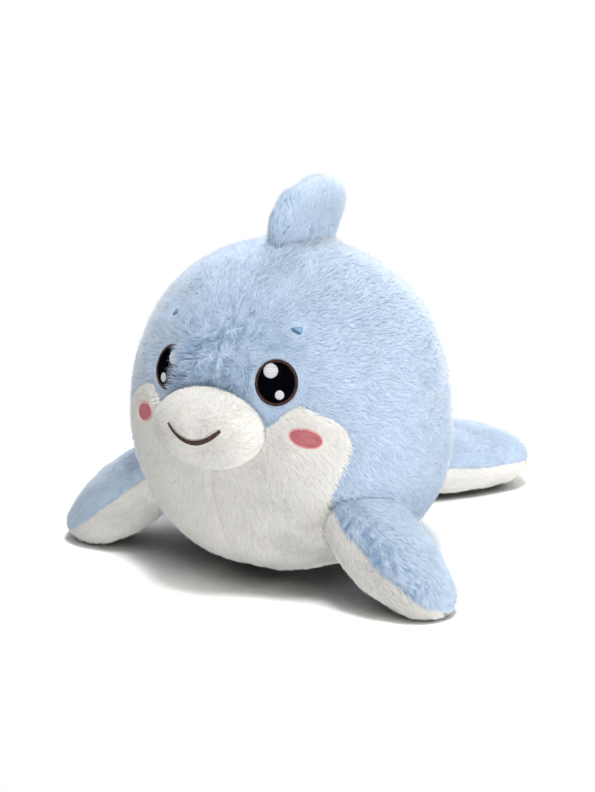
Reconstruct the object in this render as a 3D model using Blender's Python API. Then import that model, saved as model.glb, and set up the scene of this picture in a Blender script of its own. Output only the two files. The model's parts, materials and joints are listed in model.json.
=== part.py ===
"""A round plush dolphin that sits on its belly: sewn covers over soft stuffing, with an embroidered face.

The origin is the middle of the flat spot that it sits on. The nose points along -Y, the dolphin's
left side is +X and +Z is up. Directions on the body are given as an azimuth, from the nose towards
the dolphin's left, and an elevation above the body's middle, both in degrees.
"""

import math

import bmesh
import bpy
from mathutils import Matrix, Vector

# Body: a ball that is a little fuller low down, where it sags, and at the back, where the tail starts
BODY_WIDTH = 0.229
BODY_DEPTH = 0.220
BODY_HEIGHT = 0.240
FLAT_SPOT_RADIUS = 0.021
LOW_FULLNESS = 0.019
HIGH_FULLNESS = 0.020
REAR_FULLNESS = 0.149
COVER_THICKNESS = 0.006

# Gaps between sewn covers, between a cover and its stuffing, and under a pad or a limb on the body. A
# limb's is measured from the true curve, and the flat facets of both forms take up most of it.
SEAM_GAP = 0.0003
STUFFING_GAP = 0.0005
SEAT_GAP = 0.0004
LIMB_SEAT_GAP = 0.0009

# Seam between the white belly cover and the blue back covers, on the dolphin's left: (azimuth, elevation)
BELLY_AXIS_ELEVATION = -35.0
BELLY_SEAM = (
    (0.0, 6.0),
    (14.0, 6.5),
    (23.0, 8.5),
    (28.0, 12.8),
    (33.5, 15.3),
    (40.5, 12.4),
    (46.5, 9.2),
    (51.0, 3.8),
    (50.8, -3.2),
    (48.0, -10.3),
    (45.3, -17.0),
    (44.8, -28.2),
    (50.0, -42.0),
    (66.0, -53.0),
    (100.0, -60.0),
    (140.0, -55.0),
    (180.0, -42.0),
)

# Muzzle: a wide plump pad on the front of the ball, with a smile stitched on it
MUZZLE_ELEVATION = 5.6
MUZZLE_HALF_WIDTH = 0.0437
MUZZLE_HALF_HEIGHT = 0.0286
MUZZLE_DEPTH = 0.0245
MOUTH_HALF_WIDTH = 0.0165
MOUTH_SHIFT = 0.0020
MOUTH_DROP = 0.0052
MOUTH_CURL = 0.0085
MOUTH_STITCH_WIDTH = 0.0030
MOUTH_STITCH_HEIGHT = 0.0012

# Eyes, cheeks and brow tucks: stitched pads that lie on the cover, each placed by azimuth and elevation
EYE_AZIMUTH = {"left": 25.1, "right": 22.9}
EYE_ELEVATION = 23.2
EYE_HALF_WIDTH = 0.0149
EYE_HALF_HEIGHT = 0.0159
EYE_RIM_WIDTH = 0.0022
EYE_THICKNESS = 0.0014
HIGHLIGHT_THICKNESS = 0.0006
LARGE_HIGHLIGHT_OFFSET = (-0.0038, 0.0073)
LARGE_HIGHLIGHT_RADIUS = 0.0049
SMALL_HIGHLIGHT_OFFSET = (0.0024, -0.0092)
SMALL_HIGHLIGHT_RADIUS = 0.0030
CHEEK_PLACE = (35.7, 3.9)
CHEEK_HALF_WIDTH = 0.0122
CHEEK_HALF_HEIGHT = 0.0068
CHEEK_TILT = -18.0
CHEEK_THICKNESS = 0.0010
BROW_PLACE = (33.3, 41.1)
BROW_HALF_WIDTH = 0.0042
BROW_HALF_HEIGHT = 0.0026
BROW_TILT = -35.0
BROW_THICKNESS = 0.0012
BROW_SINK = 0.0008

# Dorsal fin: a plump pad on top of the ball that leans back
FIN_ELEVATION = 78.0
FIN_CENTRE_HEIGHT = 0.018
FIN_FRONT_LENGTH = 0.049
FIN_REAR_LENGTH = 0.041
FIN_UPPER_HEIGHT = 0.023
FIN_LOWER_HEIGHT = 0.044
FIN_HALF_THICKNESS = 0.0160
FIN_LEAN = 20.0

# Flippers: plump pads that slope down from the sides of the ball to the ground. Both have one shape, but
# as soft limbs they lie a little differently: azimuth round the body, how far the middle stands off the
# body's surface, and the turn, slope and roll in degrees
FLIPPER_LIE = {
    "left": {"azimuth": 65.8, "standoff": 0.021, "turn": 3.0, "slope": 41.0, "roll": -4.0},
    "right": {"azimuth": 78.5, "standoff": 0.029, "turn": -7.7, "slope": 38.7, "roll": 4.1},
}
FLIPPER_TIP_LENGTH = 0.0595
FLIPPER_ROOT_LENGTH = 0.060
FLIPPER_HALF_WIDTH = 0.0372
FLIPPER_TOP_THICKNESS = 0.0220
FLIPPER_BOTTOM_THICKNESS = 0.0315
FLIPPER_SQUASH = 0.002

# Tail: a short stem low on the back that spreads into two swept-back flukes lying on the ground
TAIL_REACH = 0.098
TAIL_STEM_LENGTH = 0.108
TAIL_STEM_HALF_WIDTH = 0.028
TAIL_STEM_LIFT = 0.020
TAIL_STEM_FULLNESS = 0.55
FLUKE_SPAN = 0.080
FLUKE_SWEEP = 0.026
FLUKE_FRONT_REACH = 0.055
FLUKE_REAR_REACH = 0.056
FLUKE_NOTCH_REACH = 0.040
TAIL_HALF_THICKNESS = 0.0275
FLUKE_FULLNESS = 0.30
TAIL_SQUASH = 0.002

# How much of a limb's own depth the hollow inside its covers takes
LIMB_HOLLOW_SHARE = 0.84

# Mesh fineness: columns round each form, and rings from its middle to its seam
BODY_COLUMNS = 48
BELLY_RINGS = 6
BACK_RINGS = 8
MUZZLE_COLUMNS = 28
MUZZLE_RINGS = 4
FLIPPER_COLUMNS = 24
FLIPPER_RINGS = 4
FIN_COLUMNS = 24
FIN_RINGS = 3
TAIL_COLUMNS = 36
TAIL_RINGS = 4
STITCH_COLUMNS = 28
CHEEK_COLUMNS = 20
HIGHLIGHT_COLUMNS = 16
MOUTH_SECTIONS = 17

# Colours as they look on screen, 0 to 255, and roughness
MATERIALS = {
    "blue_plush": ((175, 200, 230), 0.95),
    "white_plush": ((237, 235, 231), 0.95),
    "stuffing": ((244, 243, 240), 1.0),
    "black_thread": ((22, 20, 22), 0.45),
    "white_thread": ((242, 242, 244), 0.5),
    "brown_thread": ((66, 40, 33), 0.5),
    "rose_thread": ((200, 115, 122), 0.6),
    "tuck_thread": ((112, 142, 178), 0.8),
}

CENTRE = Vector((0, 0, BODY_HEIGHT / 2 * math.sqrt(1 - (2 * FLAT_SPOT_RADIUS / BODY_WIDTH) ** 2)))
SIDES = (("left", 1), ("right", -1))


def clear_scene():
    for old in list(bpy.data.objects):
        bpy.data.objects.remove(old, do_unlink=True)


def linear(value):
    value /= 255
    return value / 12.92 if value <= 0.04045 else ((value + 0.055) / 1.055) ** 2.4


def material(name):
    found = bpy.data.materials.get(name)
    if found:
        return found
    colour, roughness = MATERIALS[name]
    made = bpy.data.materials.new(name)
    made.use_nodes = True
    shader = made.node_tree.nodes["Principled BSDF"]
    shader.inputs["Base Color"].default_value = (*map(linear, colour), 1)
    shader.inputs["Roughness"].default_value = roughness
    made.diffuse_color = (*map(linear, colour), 1)
    return made


def make_object(name, points, faces, material_name):
    """A smooth-shaded object from points and faces, with its faces turned outward."""
    mesh = bpy.data.meshes.new(name)
    mesh.from_pydata(points, [], faces)
    shape = bmesh.new()
    shape.from_mesh(mesh)
    bmesh.ops.recalc_face_normals(shape, faces=shape.faces)
    shape.to_mesh(mesh)
    shape.free()
    mesh.shade_smooth()
    mesh.set_sharp_from_angle(angle=math.radians(50))
    mesh.materials.append(material(material_name))
    made = bpy.data.objects.new(name, mesh)
    bpy.context.scene.collection.objects.link(made)
    return made


def patch_faces(rings, columns, closed, start=0):
    """Triangles of a patch whose points are its pole and then its rings, each with this many columns."""
    faces = []
    steps = columns if closed else columns - 1
    for column in range(steps):
        following = (column + 1) % columns
        faces.append((start, start + 1 + column, start + 1 + following))
        for ring in range(1, rings):
            inner = start + 1 + (ring - 1) * columns
            outer = inner + columns
            faces.append((inner + column, outer + column, outer + following))
            faces.append((inner + column, outer + following, inner + following))
    return faces


def patch_border(rings, columns, closed):
    last = 1 + (rings - 1) * columns
    border = [last + column for column in range(columns)]
    if closed:
        return border
    first_side = [1 + ring * columns for ring in range(rings - 1)]
    last_side = [1 + ring * columns + columns - 1 for ring in reversed(range(rings - 1))]
    return [0] + first_side + border + last_side


def sewn_cover(name, outside, inside, closed, material_name):
    """A cover between two like patches, each a (pole, rings) pair, joined by a wall round their borders."""
    rings = len(outside[1])
    columns = len(outside[1][0])
    points = []
    for pole, ring_points in (outside, inside):
        points.append(pole)
        points.extend(point for ring in ring_points for point in ring)
    half = len(points) // 2
    faces = patch_faces(rings, columns, closed)
    faces += [face[::-1] for face in patch_faces(rings, columns, closed, half)]
    border = patch_border(rings, columns, closed)
    for here, there in zip(border, border[1:] + border[:1]):
        faces.append((here, here + half, there + half))
        faces.append((here, there + half, there))
    return make_object(name, points, faces, material_name)


def lens(name, first, second, material_name):
    """A solid between two closed patches, each a (pole, rings) pair, that share their last ring."""
    rings = len(first[1])
    columns = len(first[1][0])
    second_rings = len(second[1])
    points = [first[0]] + [point for ring in first[1] for point in ring]
    second_start = len(points)
    points += [second[0]] + [point for ring in second[1][:-1] for point in ring]
    border = 1 + (rings - 1) * columns
    second_border = second_start + 1 + (second_rings - 1) * columns
    faces = patch_faces(rings, columns, True)
    for face in patch_faces(second_rings, columns, True, second_start):
        faces.append([index - second_border + border if index >= second_border else index for index in face])
    return make_object(name, points, faces, material_name)


def ringed_solid(name, first_pole, rings, last_pole, material_name):
    """A solid through a row of closed rings, with a pole at each end."""
    columns = len(rings[0])
    points = [first_pole] + [point for ring in rings for point in ring] + [last_pole]
    faces = patch_faces(len(rings), columns, True)
    last_ring = 1 + (len(rings) - 1) * columns
    for column in range(columns):
        following = (column + 1) % columns
        faces.append((last_ring + column, len(points) - 1, last_ring + following))
    return make_object(name, points, faces, material_name)


def band(name, sections, material_name):
    """A closed band through a loop of like cross-sections."""
    count = len(sections)
    size = len(sections[0])
    points = [point for section in sections for point in section]
    faces = []
    for index in range(count):
        after = (index + 1) % count
        for corner in range(size):
            beside = (corner + 1) % size
            here = index * size + corner
            there = after * size + beside
            faces.append((here, index * size + beside, there))
            faces.append((here, there, after * size + corner))
    return make_object(name, points, faces, material_name)


def direction(azimuth, elevation):
    azimuth = math.radians(azimuth)
    elevation = math.radians(elevation)
    flat = math.cos(elevation)
    return Vector((math.sin(azimuth) * flat, -math.cos(azimuth) * flat, math.sin(elevation)))


def body_radius(toward):
    """How far the body's surface lies from its centre in a unit direction, before it sits flat."""
    x, y, z = toward
    ball = 1 / math.sqrt((2 * x / BODY_WIDTH) ** 2 + (2 * y / BODY_DEPTH) ** 2 + (2 * z / BODY_HEIGHT) ** 2)
    below = max(-z, 0) ** 2
    above = max(z, 0) ** 2
    fullness = LOW_FULLNESS * 4 * below * (1 - below)
    fullness += HIGH_FULLNESS * 4 * above * (1 - above)
    fullness += REAR_FULLNESS * 2 * max(y, 0) * max(-z, 0)
    return ball * (1 + fullness)


def on_body(toward, height=0.0):
    """The point at a height above the body's surface, or below it if negative, flat over the flat spot."""
    point = CENTRE + toward * (body_radius(toward) + height)
    point.z = max(point.z, -height, 0)
    return point


def inside_body(point, gap):
    arm = point - CENTRE
    return arm.length < body_radius(arm.normalized()) + gap


def clear_of_body(point, along, gap):
    """The point itself, or where it lies inside the body, its place after sliding out along an axis."""
    if not inside_body(point, gap):
        return point
    inside, outside = 0.0, BODY_HEIGHT + BODY_WIDTH
    for _ in range(30):
        middle = (inside + outside) / 2
        if inside_body(point + along * middle, gap):
            inside = middle
        else:
            outside = middle
    return point + along * outside


def place_on_body(azimuth, elevation):
    """A frame on the body's surface: its origin, the way to the dolphin's left, up and outward."""
    outward = direction(azimuth, elevation)
    across = Vector((0, 0, 1)).cross(outward).normalized()
    return on_body(outward), across, outward.cross(across), outward


def from_place(place, across, up, height):
    """The point at a height over the body, found across and up from a place on it."""
    origin, across_axis, up_axis, _ = place
    toward = (origin + across_axis * across + up_axis * up - CENTRE).normalized()
    return on_body(toward, height)


def turns(columns):
    return [2 * math.pi * column / columns for column in range(columns)]


def read_smoothly(bearing, knots):
    """A value read smoothly between knots, each a (bearing, value) pair, all the way round."""
    count = len(knots)
    for index in range(count):
        start, start_angle = knots[index]
        end, end_angle = knots[(index + 1) % count]
        span = (end - start) % (2 * math.pi)
        offset = (bearing - start) % (2 * math.pi)
        if offset > span:
            continue
        before, before_angle = knots[index - 1]
        after, after_angle = knots[(index + 2) % count]
        part = offset / span
        slope_in = (end_angle - before_angle) / ((end - before) % (2 * math.pi)) * span
        slope_out = (after_angle - start_angle) / ((after - start) % (2 * math.pi)) * span
        rise = part * part * (3 - 2 * part)
        bulge_in = part * (1 - part) ** 2 * slope_in
        bulge_out = part * part * (part - 1) * slope_out
        return start_angle + (end_angle - start_angle) * rise + bulge_in + bulge_out
    return knots[0][1]


def belly_knots():
    """The seam's points as (bearing round the belly's axis, angle from it), all the way round."""
    axis = direction(0, BELLY_AXIS_ELEVATION)
    up = direction(0, BELLY_AXIS_ELEVATION + 90)
    across = Vector((1, 0, 0))
    left = []
    for azimuth, elevation in BELLY_SEAM:
        toward = direction(azimuth, elevation)
        bearing = math.atan2(toward.dot(across), toward.dot(up))
        left.append((bearing % (2 * math.pi), axis.angle(toward)))
    right = [(2 * math.pi - bearing, angle) for bearing, angle in reversed(left[1:-1])]
    return left + right


def belly_direction(bearing, angle):
    axis = direction(0, BELLY_AXIS_ELEVATION)
    up = direction(0, BELLY_AXIS_ELEVATION + 90)
    across = Vector((1, 0, 0))
    side = up * math.cos(bearing) + across * math.sin(bearing)
    return axis * math.cos(angle) + side * math.sin(angle)


def body_covers_and_stuffing():
    """One white belly cover, two blue back covers that meet in the middle plane, and the stuffing."""
    knots = belly_knots()
    bearings = turns(BODY_COLUMNS)
    seam = [read_smoothly(bearing, knots) for bearing in bearings]
    half_gap = SEAM_GAP / BODY_WIDTH
    axis = belly_direction(0, 0)

    def belly_rings(gap, height):
        rings = []
        for ring in range(1, BELLY_RINGS + 1):
            share = ring / BELLY_RINGS
            rings.append(
                [on_body(belly_direction(b, (s - gap) * share), height) for b, s in zip(bearings, seam)]
            )
        return rings

    def back_rings(gap, height):
        rings = []
        for ring in range(1, BACK_RINGS + 1):
            share = ring / BACK_RINGS
            rings.append(
                [
                    on_body(belly_direction(b, math.pi - (math.pi - s - gap) * share), height)
                    for b, s in zip(bearings, seam)
                ]
            )
        return rings

    outside = (on_body(axis), belly_rings(half_gap, 0))
    inside = (on_body(axis, -COVER_THICKNESS), belly_rings(half_gap, -COVER_THICKNESS))
    sewn_cover("belly_panel", outside, inside, True, "white_plush")

    middle = BODY_COLUMNS // 2
    for side, sign in SIDES:
        patches = []
        for height in (0, -COVER_THICKNESS):
            rings = []
            for ring in back_rings(half_gap, height):
                half = ring[: middle + 1] if sign > 0 else ring[middle:] + ring[:1]
                half = [Vector(point) for point in half]
                for edge in (half[0], half[-1]):
                    edge.x = sign * SEAM_GAP / 2
                rings.append(half)
            pole = on_body(-axis, height)
            pole.x = sign * SEAM_GAP / 2
            patches.append((pole, rings))
        sewn_cover(f"back_{side}_panel", *patches, False, "blue_plush")

    depth = -COVER_THICKNESS - STUFFING_GAP
    front = (on_body(axis, depth), belly_rings(0, depth))
    rear = (on_body(-axis, depth), back_rings(0, depth))
    lens("body_stuffing", front, rear, "stuffing")


def muzzle_height(share):
    """The pad's height over the body, from its middle at 0 to its edge at 1."""
    return (1 - share**2.4) ** 0.62


def muzzle_point(turn, share, scale=1.0, depth=MUZZLE_DEPTH):
    place = place_on_body(0, MUZZLE_ELEVATION)
    across = MUZZLE_HALF_WIDTH * scale * share * math.cos(turn)
    up = MUZZLE_HALF_HEIGHT * scale * share * math.sin(turn)
    return from_place(place, across, up, SEAT_GAP + depth * muzzle_height(share))


def muzzle_surface(across, up, lift):
    """The point at a lift over the muzzle's outer surface, across and up from its middle."""
    share = math.hypot(across / MUZZLE_HALF_WIDTH, up / MUZZLE_HALF_HEIGHT)
    height = SEAT_GAP + MUZZLE_DEPTH * muzzle_height(min(share, 1)) + lift
    return from_place(place_on_body(0, MUZZLE_ELEVATION), across, up, height)


def ring_shares(rings):
    """Shares from the middle to the edge that close up towards the edge, where a pad turns over."""
    return [math.sin(math.pi / 2 * ring / rings) for ring in range(1, rings + 1)]


def muzzle():
    turns_round = turns(MUZZLE_COLUMNS)
    shares = ring_shares(MUZZLE_RINGS)
    inner_scale = 1 - COVER_THICKNESS / MUZZLE_HALF_HEIGHT
    inner_depth = MUZZLE_DEPTH - COVER_THICKNESS

    def dome(scale, depth):
        rings = [[muzzle_point(turn, share, scale, depth) for turn in turns_round] for share in shares]
        return muzzle_point(0, 0, scale, depth), rings

    outside = dome(1.0, MUZZLE_DEPTH)
    inside = dome(inner_scale, inner_depth)
    sewn_cover("muzzle_cover", outside, inside, True, "white_plush")

    core_scale = inner_scale - 2 * STUFFING_GAP / MUZZLE_HALF_HEIGHT
    lens("muzzle_stuffing", dome(core_scale, inner_depth - 2 * STUFFING_GAP), dome(core_scale, 0), "stuffing")


def mouth():
    """A smile stitched a little off the muzzle's middle, thick halfway and fine at its ends."""
    sections = []
    for index in range(MOUTH_SECTIONS):
        along = 2 * (index + 0.5) / MOUTH_SECTIONS - 1
        fullness = math.sqrt(1 - along**2)
        half_width = MOUTH_STITCH_WIDTH / 2 * fullness
        across = MOUTH_SHIFT + MOUTH_HALF_WIDTH * along
        up = MOUTH_CURL * along**2 - MOUTH_DROP
        slope = 2 * MOUTH_CURL * along / MOUTH_HALF_WIDTH
        norm = math.hypot(1, slope)
        side = Vector((-slope / norm, 1 / norm))
        section = []
        for offset, lift in ((-1, 0), (-0.7, 0.7), (0, 1), (0.7, 0.7), (1, 0)):
            shift = side * half_width * offset
            height = SEAT_GAP + MOUTH_STITCH_HEIGHT * fullness * lift
            section.append(muzzle_surface(across + shift.x, up + shift.y, height))
        sections.append(section)
    ends = [
        muzzle_surface(MOUTH_SHIFT + end * MOUTH_HALF_WIDTH, MOUTH_CURL - MOUTH_DROP, SEAT_GAP)
        for end in (-1, 1)
    ]
    ringed_solid("mouth_stitch", ends[0], sections, ends[1], "brown_thread")


def ellipse(half_width, half_height, tilt, offset, columns, share=1.0):
    """Points of an ellipse as (across, up) pairs, tilted by an angle in degrees and moved by an offset."""
    tilt = math.radians(tilt)
    points = []
    for turn in turns(columns):
        across = half_width * share * math.cos(turn)
        up = half_height * share * math.sin(turn)
        points.append(
            (
                offset[0] + across * math.cos(tilt) - up * math.sin(tilt),
                offset[1] + across * math.sin(tilt) + up * math.cos(tilt),
            )
        )
    return points


def stitched_pad(name, place, sizes, tilt, offset, low, thickness, columns, material_name):
    """A thin pad on the body, with a softly rounded top edge."""
    half_width, half_height = sizes

    def ring(share, height):
        outline = ellipse(half_width, half_height, tilt, offset, columns, share)
        return [from_place(place, across, up, height) for across, up in outline]

    high = low + thickness
    edge = ring(1, low + 0.5 * thickness)
    top = (from_place(place, *offset, high), [ring(0.6, high), ring(0.93, high - 0.1 * thickness), edge])
    bottom = (from_place(place, *offset, low), [ring(0.6, low), edge])
    return lens(name, top, bottom, material_name)


def eye(side, sign):
    """A stitched eye: brown rim, black middle and two white highlights, mirrored for the other side."""
    place = place_on_body(sign * EYE_AZIMUTH[side], EYE_ELEVATION)
    inner = (EYE_HALF_WIDTH - EYE_RIM_WIDTH, EYE_HALF_HEIGHT - EYE_RIM_WIDTH)
    low = SEAT_GAP
    sections = [[] for _ in range(STITCH_COLUMNS)]
    profile = ((0, 0), (0.1, 1.1), (0.5, 1.5), (0.9, 1.1), (1, 0))
    for along, lift in profile:
        half_width = inner[0] + SEAM_GAP + (EYE_RIM_WIDTH - SEAM_GAP) * along
        half_height = inner[1] + SEAM_GAP + (EYE_RIM_WIDTH - SEAM_GAP) * along
        outline = ellipse(half_width, half_height, 0, (0, 0), STITCH_COLUMNS)
        for section, (across, up) in zip(sections, outline):
            section.append(from_place(place, across, up, low + EYE_THICKNESS * lift))
    band(f"{side}_eye_rim", sections, "brown_thread")
    stitched_pad(
        f"{side}_eye_black", place, inner, 0, (0, 0), low, EYE_THICKNESS, STITCH_COLUMNS, "black_thread"
    )
    lights = (
        ("large", LARGE_HIGHLIGHT_OFFSET, LARGE_HIGHLIGHT_RADIUS),
        ("small", SMALL_HIGHLIGHT_OFFSET, SMALL_HIGHLIGHT_RADIUS),
    )
    for size, (across, up), radius in lights:
        stitched_pad(
            f"{side}_eye_{size}_highlight",
            place,
            (radius, radius),
            0,
            (sign * across, up),
            low + EYE_THICKNESS + SEAM_GAP,
            HIGHLIGHT_THICKNESS,
            HIGHLIGHT_COLUMNS,
            "white_thread",
        )


def cheek(side, sign):
    place = place_on_body(sign * CHEEK_PLACE[0], CHEEK_PLACE[1])
    sizes = (CHEEK_HALF_WIDTH, CHEEK_HALF_HEIGHT)
    stitched_pad(
        f"{side}_cheek",
        place,
        sizes,
        sign * CHEEK_TILT,
        (0, 0),
        SEAT_GAP,
        CHEEK_THICKNESS,
        CHEEK_COLUMNS,
        "rose_thread",
    )


def brow(side, sign):
    place = place_on_body(sign * BROW_PLACE[0], BROW_PLACE[1])
    sizes = (BROW_HALF_WIDTH, BROW_HALF_HEIGHT)
    stitched_pad(
        f"{side}_brow_tuck",
        place,
        sizes,
        sign * BROW_TILT,
        (0, 0),
        SEAT_GAP - BROW_SINK,
        BROW_THICKNESS,
        HIGHLIGHT_COLUMNS,
        "tuck_thread",
    )


def stuffed_limb(names, outline, thickness, to_world, columns, rings, materials):
    """Two sewn half covers and the stuffing between them.

    outline gives the seam's (u, v) from the limb's middle for a turn, thickness the depth of the half
    on a side, 1 or -1, at a place (u, v), and to_world moves a point (u, v, w) to its final place.
    """
    middle = to_world(0, 0, 0)
    shares = ring_shares(rings)

    def point(turn, share, side, gap, scale):
        u, v, w = limb_point(outline, thickness, turn, share, side)
        return middle + (to_world(u, v, w + side * gap) - middle) * scale

    def half(side, gap, scale):
        ring_points = [[point(turn, share, side, gap, scale) for turn in turns(columns)] for share in shares]
        return point(0, 0, side, gap, scale), ring_points

    for name, side, material_name in zip(names, (1, -1), materials):
        outside = half(side, SEAM_GAP / 2, 1)
        inside = half(side, SEAM_GAP / 2, LIMB_HOLLOW_SHARE)
        sewn_cover(name, outside, inside, True, material_name)
    core = LIMB_HOLLOW_SHARE * (1 - 2 * STUFFING_GAP / thickness(0, 0, 1))
    lens(names[2], half(1, 0, core), half(-1, 0, core), "stuffing")


def limb_point(outline, thickness, turn, share, side):
    """A point of a limb's outside in its own frame, at a share of the way from its middle to its seam."""
    u, v = outline(turn)
    u *= share
    v *= share
    return Vector((u, v, side * thickness(u, v, side) * math.sqrt(max(1 - share**2, 0))))


def depth_below(outline, thickness, turned, columns=72, rings=12):
    """How far a limb's outside reaches below its middle, once turned."""
    points = [
        limb_point(outline, thickness, turn, share, side)
        for turn in turns(columns)
        for share in [0] + ring_shares(rings)
        for side in (1, -1)
    ]
    return -min((turned @ point).z for point in points)


def flipper(side, sign):
    """One flipper, worked out on the dolphin's left and mirrored for the right."""
    lie = FLIPPER_LIE[side]

    def outline(turn):
        along = math.cos(turn)
        length = FLIPPER_TIP_LENGTH if along > 0 else FLIPPER_ROOT_LENGTH
        return length * along, FLIPPER_HALF_WIDTH * math.sin(turn)

    def thickness(u, v, half):
        return FLIPPER_TOP_THICKNESS if half > 0 else FLIPPER_BOTTOM_THICKNESS

    turned = (
        Matrix.Rotation(math.radians(lie["turn"]), 3, "Z")
        @ Matrix.Rotation(math.radians(lie["slope"]), 3, "Y")
        @ Matrix.Rotation(math.radians(lie["roll"]), 3, "X")
    )
    height = depth_below(outline, thickness, turned) - FLIPPER_SQUASH
    outward = direction(lie["azimuth"], 0)
    distance = BODY_WIDTH / 2
    for _ in range(30):
        middle = outward * distance + Vector((0, 0, height))
        arm = middle - CENTRE
        distance += body_radius(arm.normalized()) + lie["standoff"] - arm.length

    def to_world(u, v, w):
        point = clear_of_body(middle + turned @ Vector((u, v, w)), turned.col[0], LIMB_SEAT_GAP)
        return Vector((sign * point.x, point.y, max(point.z, 0)))

    names = (f"{side}_flipper_top_panel", f"{side}_flipper_bottom_panel", f"{side}_flipper_stuffing")
    materials = ("blue_plush", "white_plush")
    stuffed_limb(names, outline, thickness, to_world, FLIPPER_COLUMNS, FLIPPER_RINGS, materials)


def fin():
    """The dorsal fin, with a left and a right half and its seam in the middle plane."""

    def outline(turn):
        along = math.cos(turn)
        up = math.sin(turn)
        length = FIN_FRONT_LENGTH if along < 0 else FIN_REAR_LENGTH
        height = FIN_UPPER_HEIGHT if up > 0 else FIN_LOWER_HEIGHT
        return length * along, height * up

    def thickness(u, v, half):
        return FIN_HALF_THICKNESS

    middle = on_body(direction(180, FIN_ELEVATION), FIN_CENTRE_HEIGHT)
    lean = math.tan(math.radians(FIN_LEAN))
    upward = Vector((0, lean, 1)).normalized()

    def to_world(u, v, w):
        return clear_of_body(middle + Vector((w, u + v * lean, v)), upward, LIMB_SEAT_GAP)

    names = ("fin_left_panel", "fin_right_panel", "fin_stuffing")
    stuffed_limb(names, outline, thickness, to_world, FIN_COLUMNS, FIN_RINGS, ("blue_plush",) * 2)


def tail_outline_points():
    """The seam of the tail on the dolphin's left, from the notch round to the root: (back, left) pairs."""
    return (
        (FLUKE_NOTCH_REACH, 0),
        (FLUKE_REAR_REACH, 0.42 * FLUKE_SPAN),
        (0.6 * FLUKE_SWEEP + 0.5 * FLUKE_REAR_REACH, 0.88 * FLUKE_SPAN),
        (FLUKE_SWEEP, FLUKE_SPAN),
        (0, 0.84 * FLUKE_SPAN),
        (-0.68 * FLUKE_FRONT_REACH, 0.5 * FLUKE_SPAN),
        (-FLUKE_FRONT_REACH, TAIL_STEM_HALF_WIDTH),
        (-0.75 * TAIL_STEM_LENGTH, TAIL_STEM_HALF_WIDTH),
        (-TAIL_STEM_LENGTH, 0),
    )


def tail():
    """The stem and the two flukes, one sewn form with a top and a bottom half."""
    left = [(math.atan2(v, u) % (2 * math.pi), math.hypot(u, v)) for u, v in tail_outline_points()]
    knots = left + [(2 * math.pi - bearing, reach) for bearing, reach in reversed(left[1:-1])]

    def outline(turn):
        reach = read_smoothly(turn, knots)
        return reach * math.cos(turn), reach * math.sin(turn)

    def thickness(u, v, half):
        stem = max(-u, 0) / TAIL_STEM_LENGTH
        fullness = TAIL_STEM_FULLNESS * stem + FLUKE_FULLNESS * (v / FLUKE_SPAN) ** 2
        return TAIL_HALF_THICKNESS * (1 + fullness)

    middle = Vector((0, 0, TAIL_HALF_THICKNESS - TAIL_SQUASH))
    rear = on_body(direction(180, -35))
    middle.y = rear.y + TAIL_REACH

    def to_world(u, v, w):
        lift = TAIL_STEM_LIFT * min(max(-u, 0) / TAIL_STEM_LENGTH, 1) ** 1.5
        point = clear_of_body(middle + Vector((v, u, w + lift)), Vector((0, 1, 0)), LIMB_SEAT_GAP)
        point.z = max(point.z, 0)
        return point

    names = ("tail_top_panel", "tail_bottom_panel", "tail_stuffing")
    materials = ("blue_plush", "white_plush")
    stuffed_limb(names, outline, thickness, to_world, TAIL_COLUMNS, TAIL_RINGS, materials)


def build():
    clear_scene()
    body_covers_and_stuffing()
    muzzle()
    mouth()
    fin()
    tail()
    for side, sign in SIDES:
        eye(side, sign)
        cheek(side, sign)
        brow(side, sign)
        flipper(side, sign)


build()
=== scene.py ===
"""The looks of a round plush dolphin: pile on its covers, stitched eyes, cheeks and smile, light, camera.

Metres, in the part's own frame: the origin is the middle of the flat spot it sits on, the nose points
along -Y, the dolphin's left is +X and +Z is up. Directions on the body are an azimuth, from the nose
towards the dolphin's left, and an elevation above the body's middle, in degrees.
"""

import json
import math
from collections import namedtuple
from functools import partial

import bpy
import numpy as np
from mathutils import Matrix, Vector
from mathutils.kdtree import KDTree

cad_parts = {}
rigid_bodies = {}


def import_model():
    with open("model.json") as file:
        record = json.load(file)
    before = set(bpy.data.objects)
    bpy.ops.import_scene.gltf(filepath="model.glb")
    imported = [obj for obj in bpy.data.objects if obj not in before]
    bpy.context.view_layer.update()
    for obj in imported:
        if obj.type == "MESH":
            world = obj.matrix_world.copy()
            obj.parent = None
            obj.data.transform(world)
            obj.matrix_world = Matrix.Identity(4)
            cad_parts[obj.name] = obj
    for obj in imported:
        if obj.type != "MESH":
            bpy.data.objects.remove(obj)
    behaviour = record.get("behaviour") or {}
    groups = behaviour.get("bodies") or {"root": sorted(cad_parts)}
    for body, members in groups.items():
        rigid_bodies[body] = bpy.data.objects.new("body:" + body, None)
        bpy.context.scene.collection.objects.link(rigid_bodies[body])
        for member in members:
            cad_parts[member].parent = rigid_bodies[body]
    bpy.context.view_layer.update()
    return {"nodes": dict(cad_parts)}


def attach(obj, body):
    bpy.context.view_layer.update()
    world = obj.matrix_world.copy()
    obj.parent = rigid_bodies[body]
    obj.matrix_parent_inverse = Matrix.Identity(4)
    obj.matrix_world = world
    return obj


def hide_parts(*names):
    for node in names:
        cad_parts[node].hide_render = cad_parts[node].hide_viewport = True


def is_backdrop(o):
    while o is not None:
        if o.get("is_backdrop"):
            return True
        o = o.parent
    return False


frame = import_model()

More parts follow.
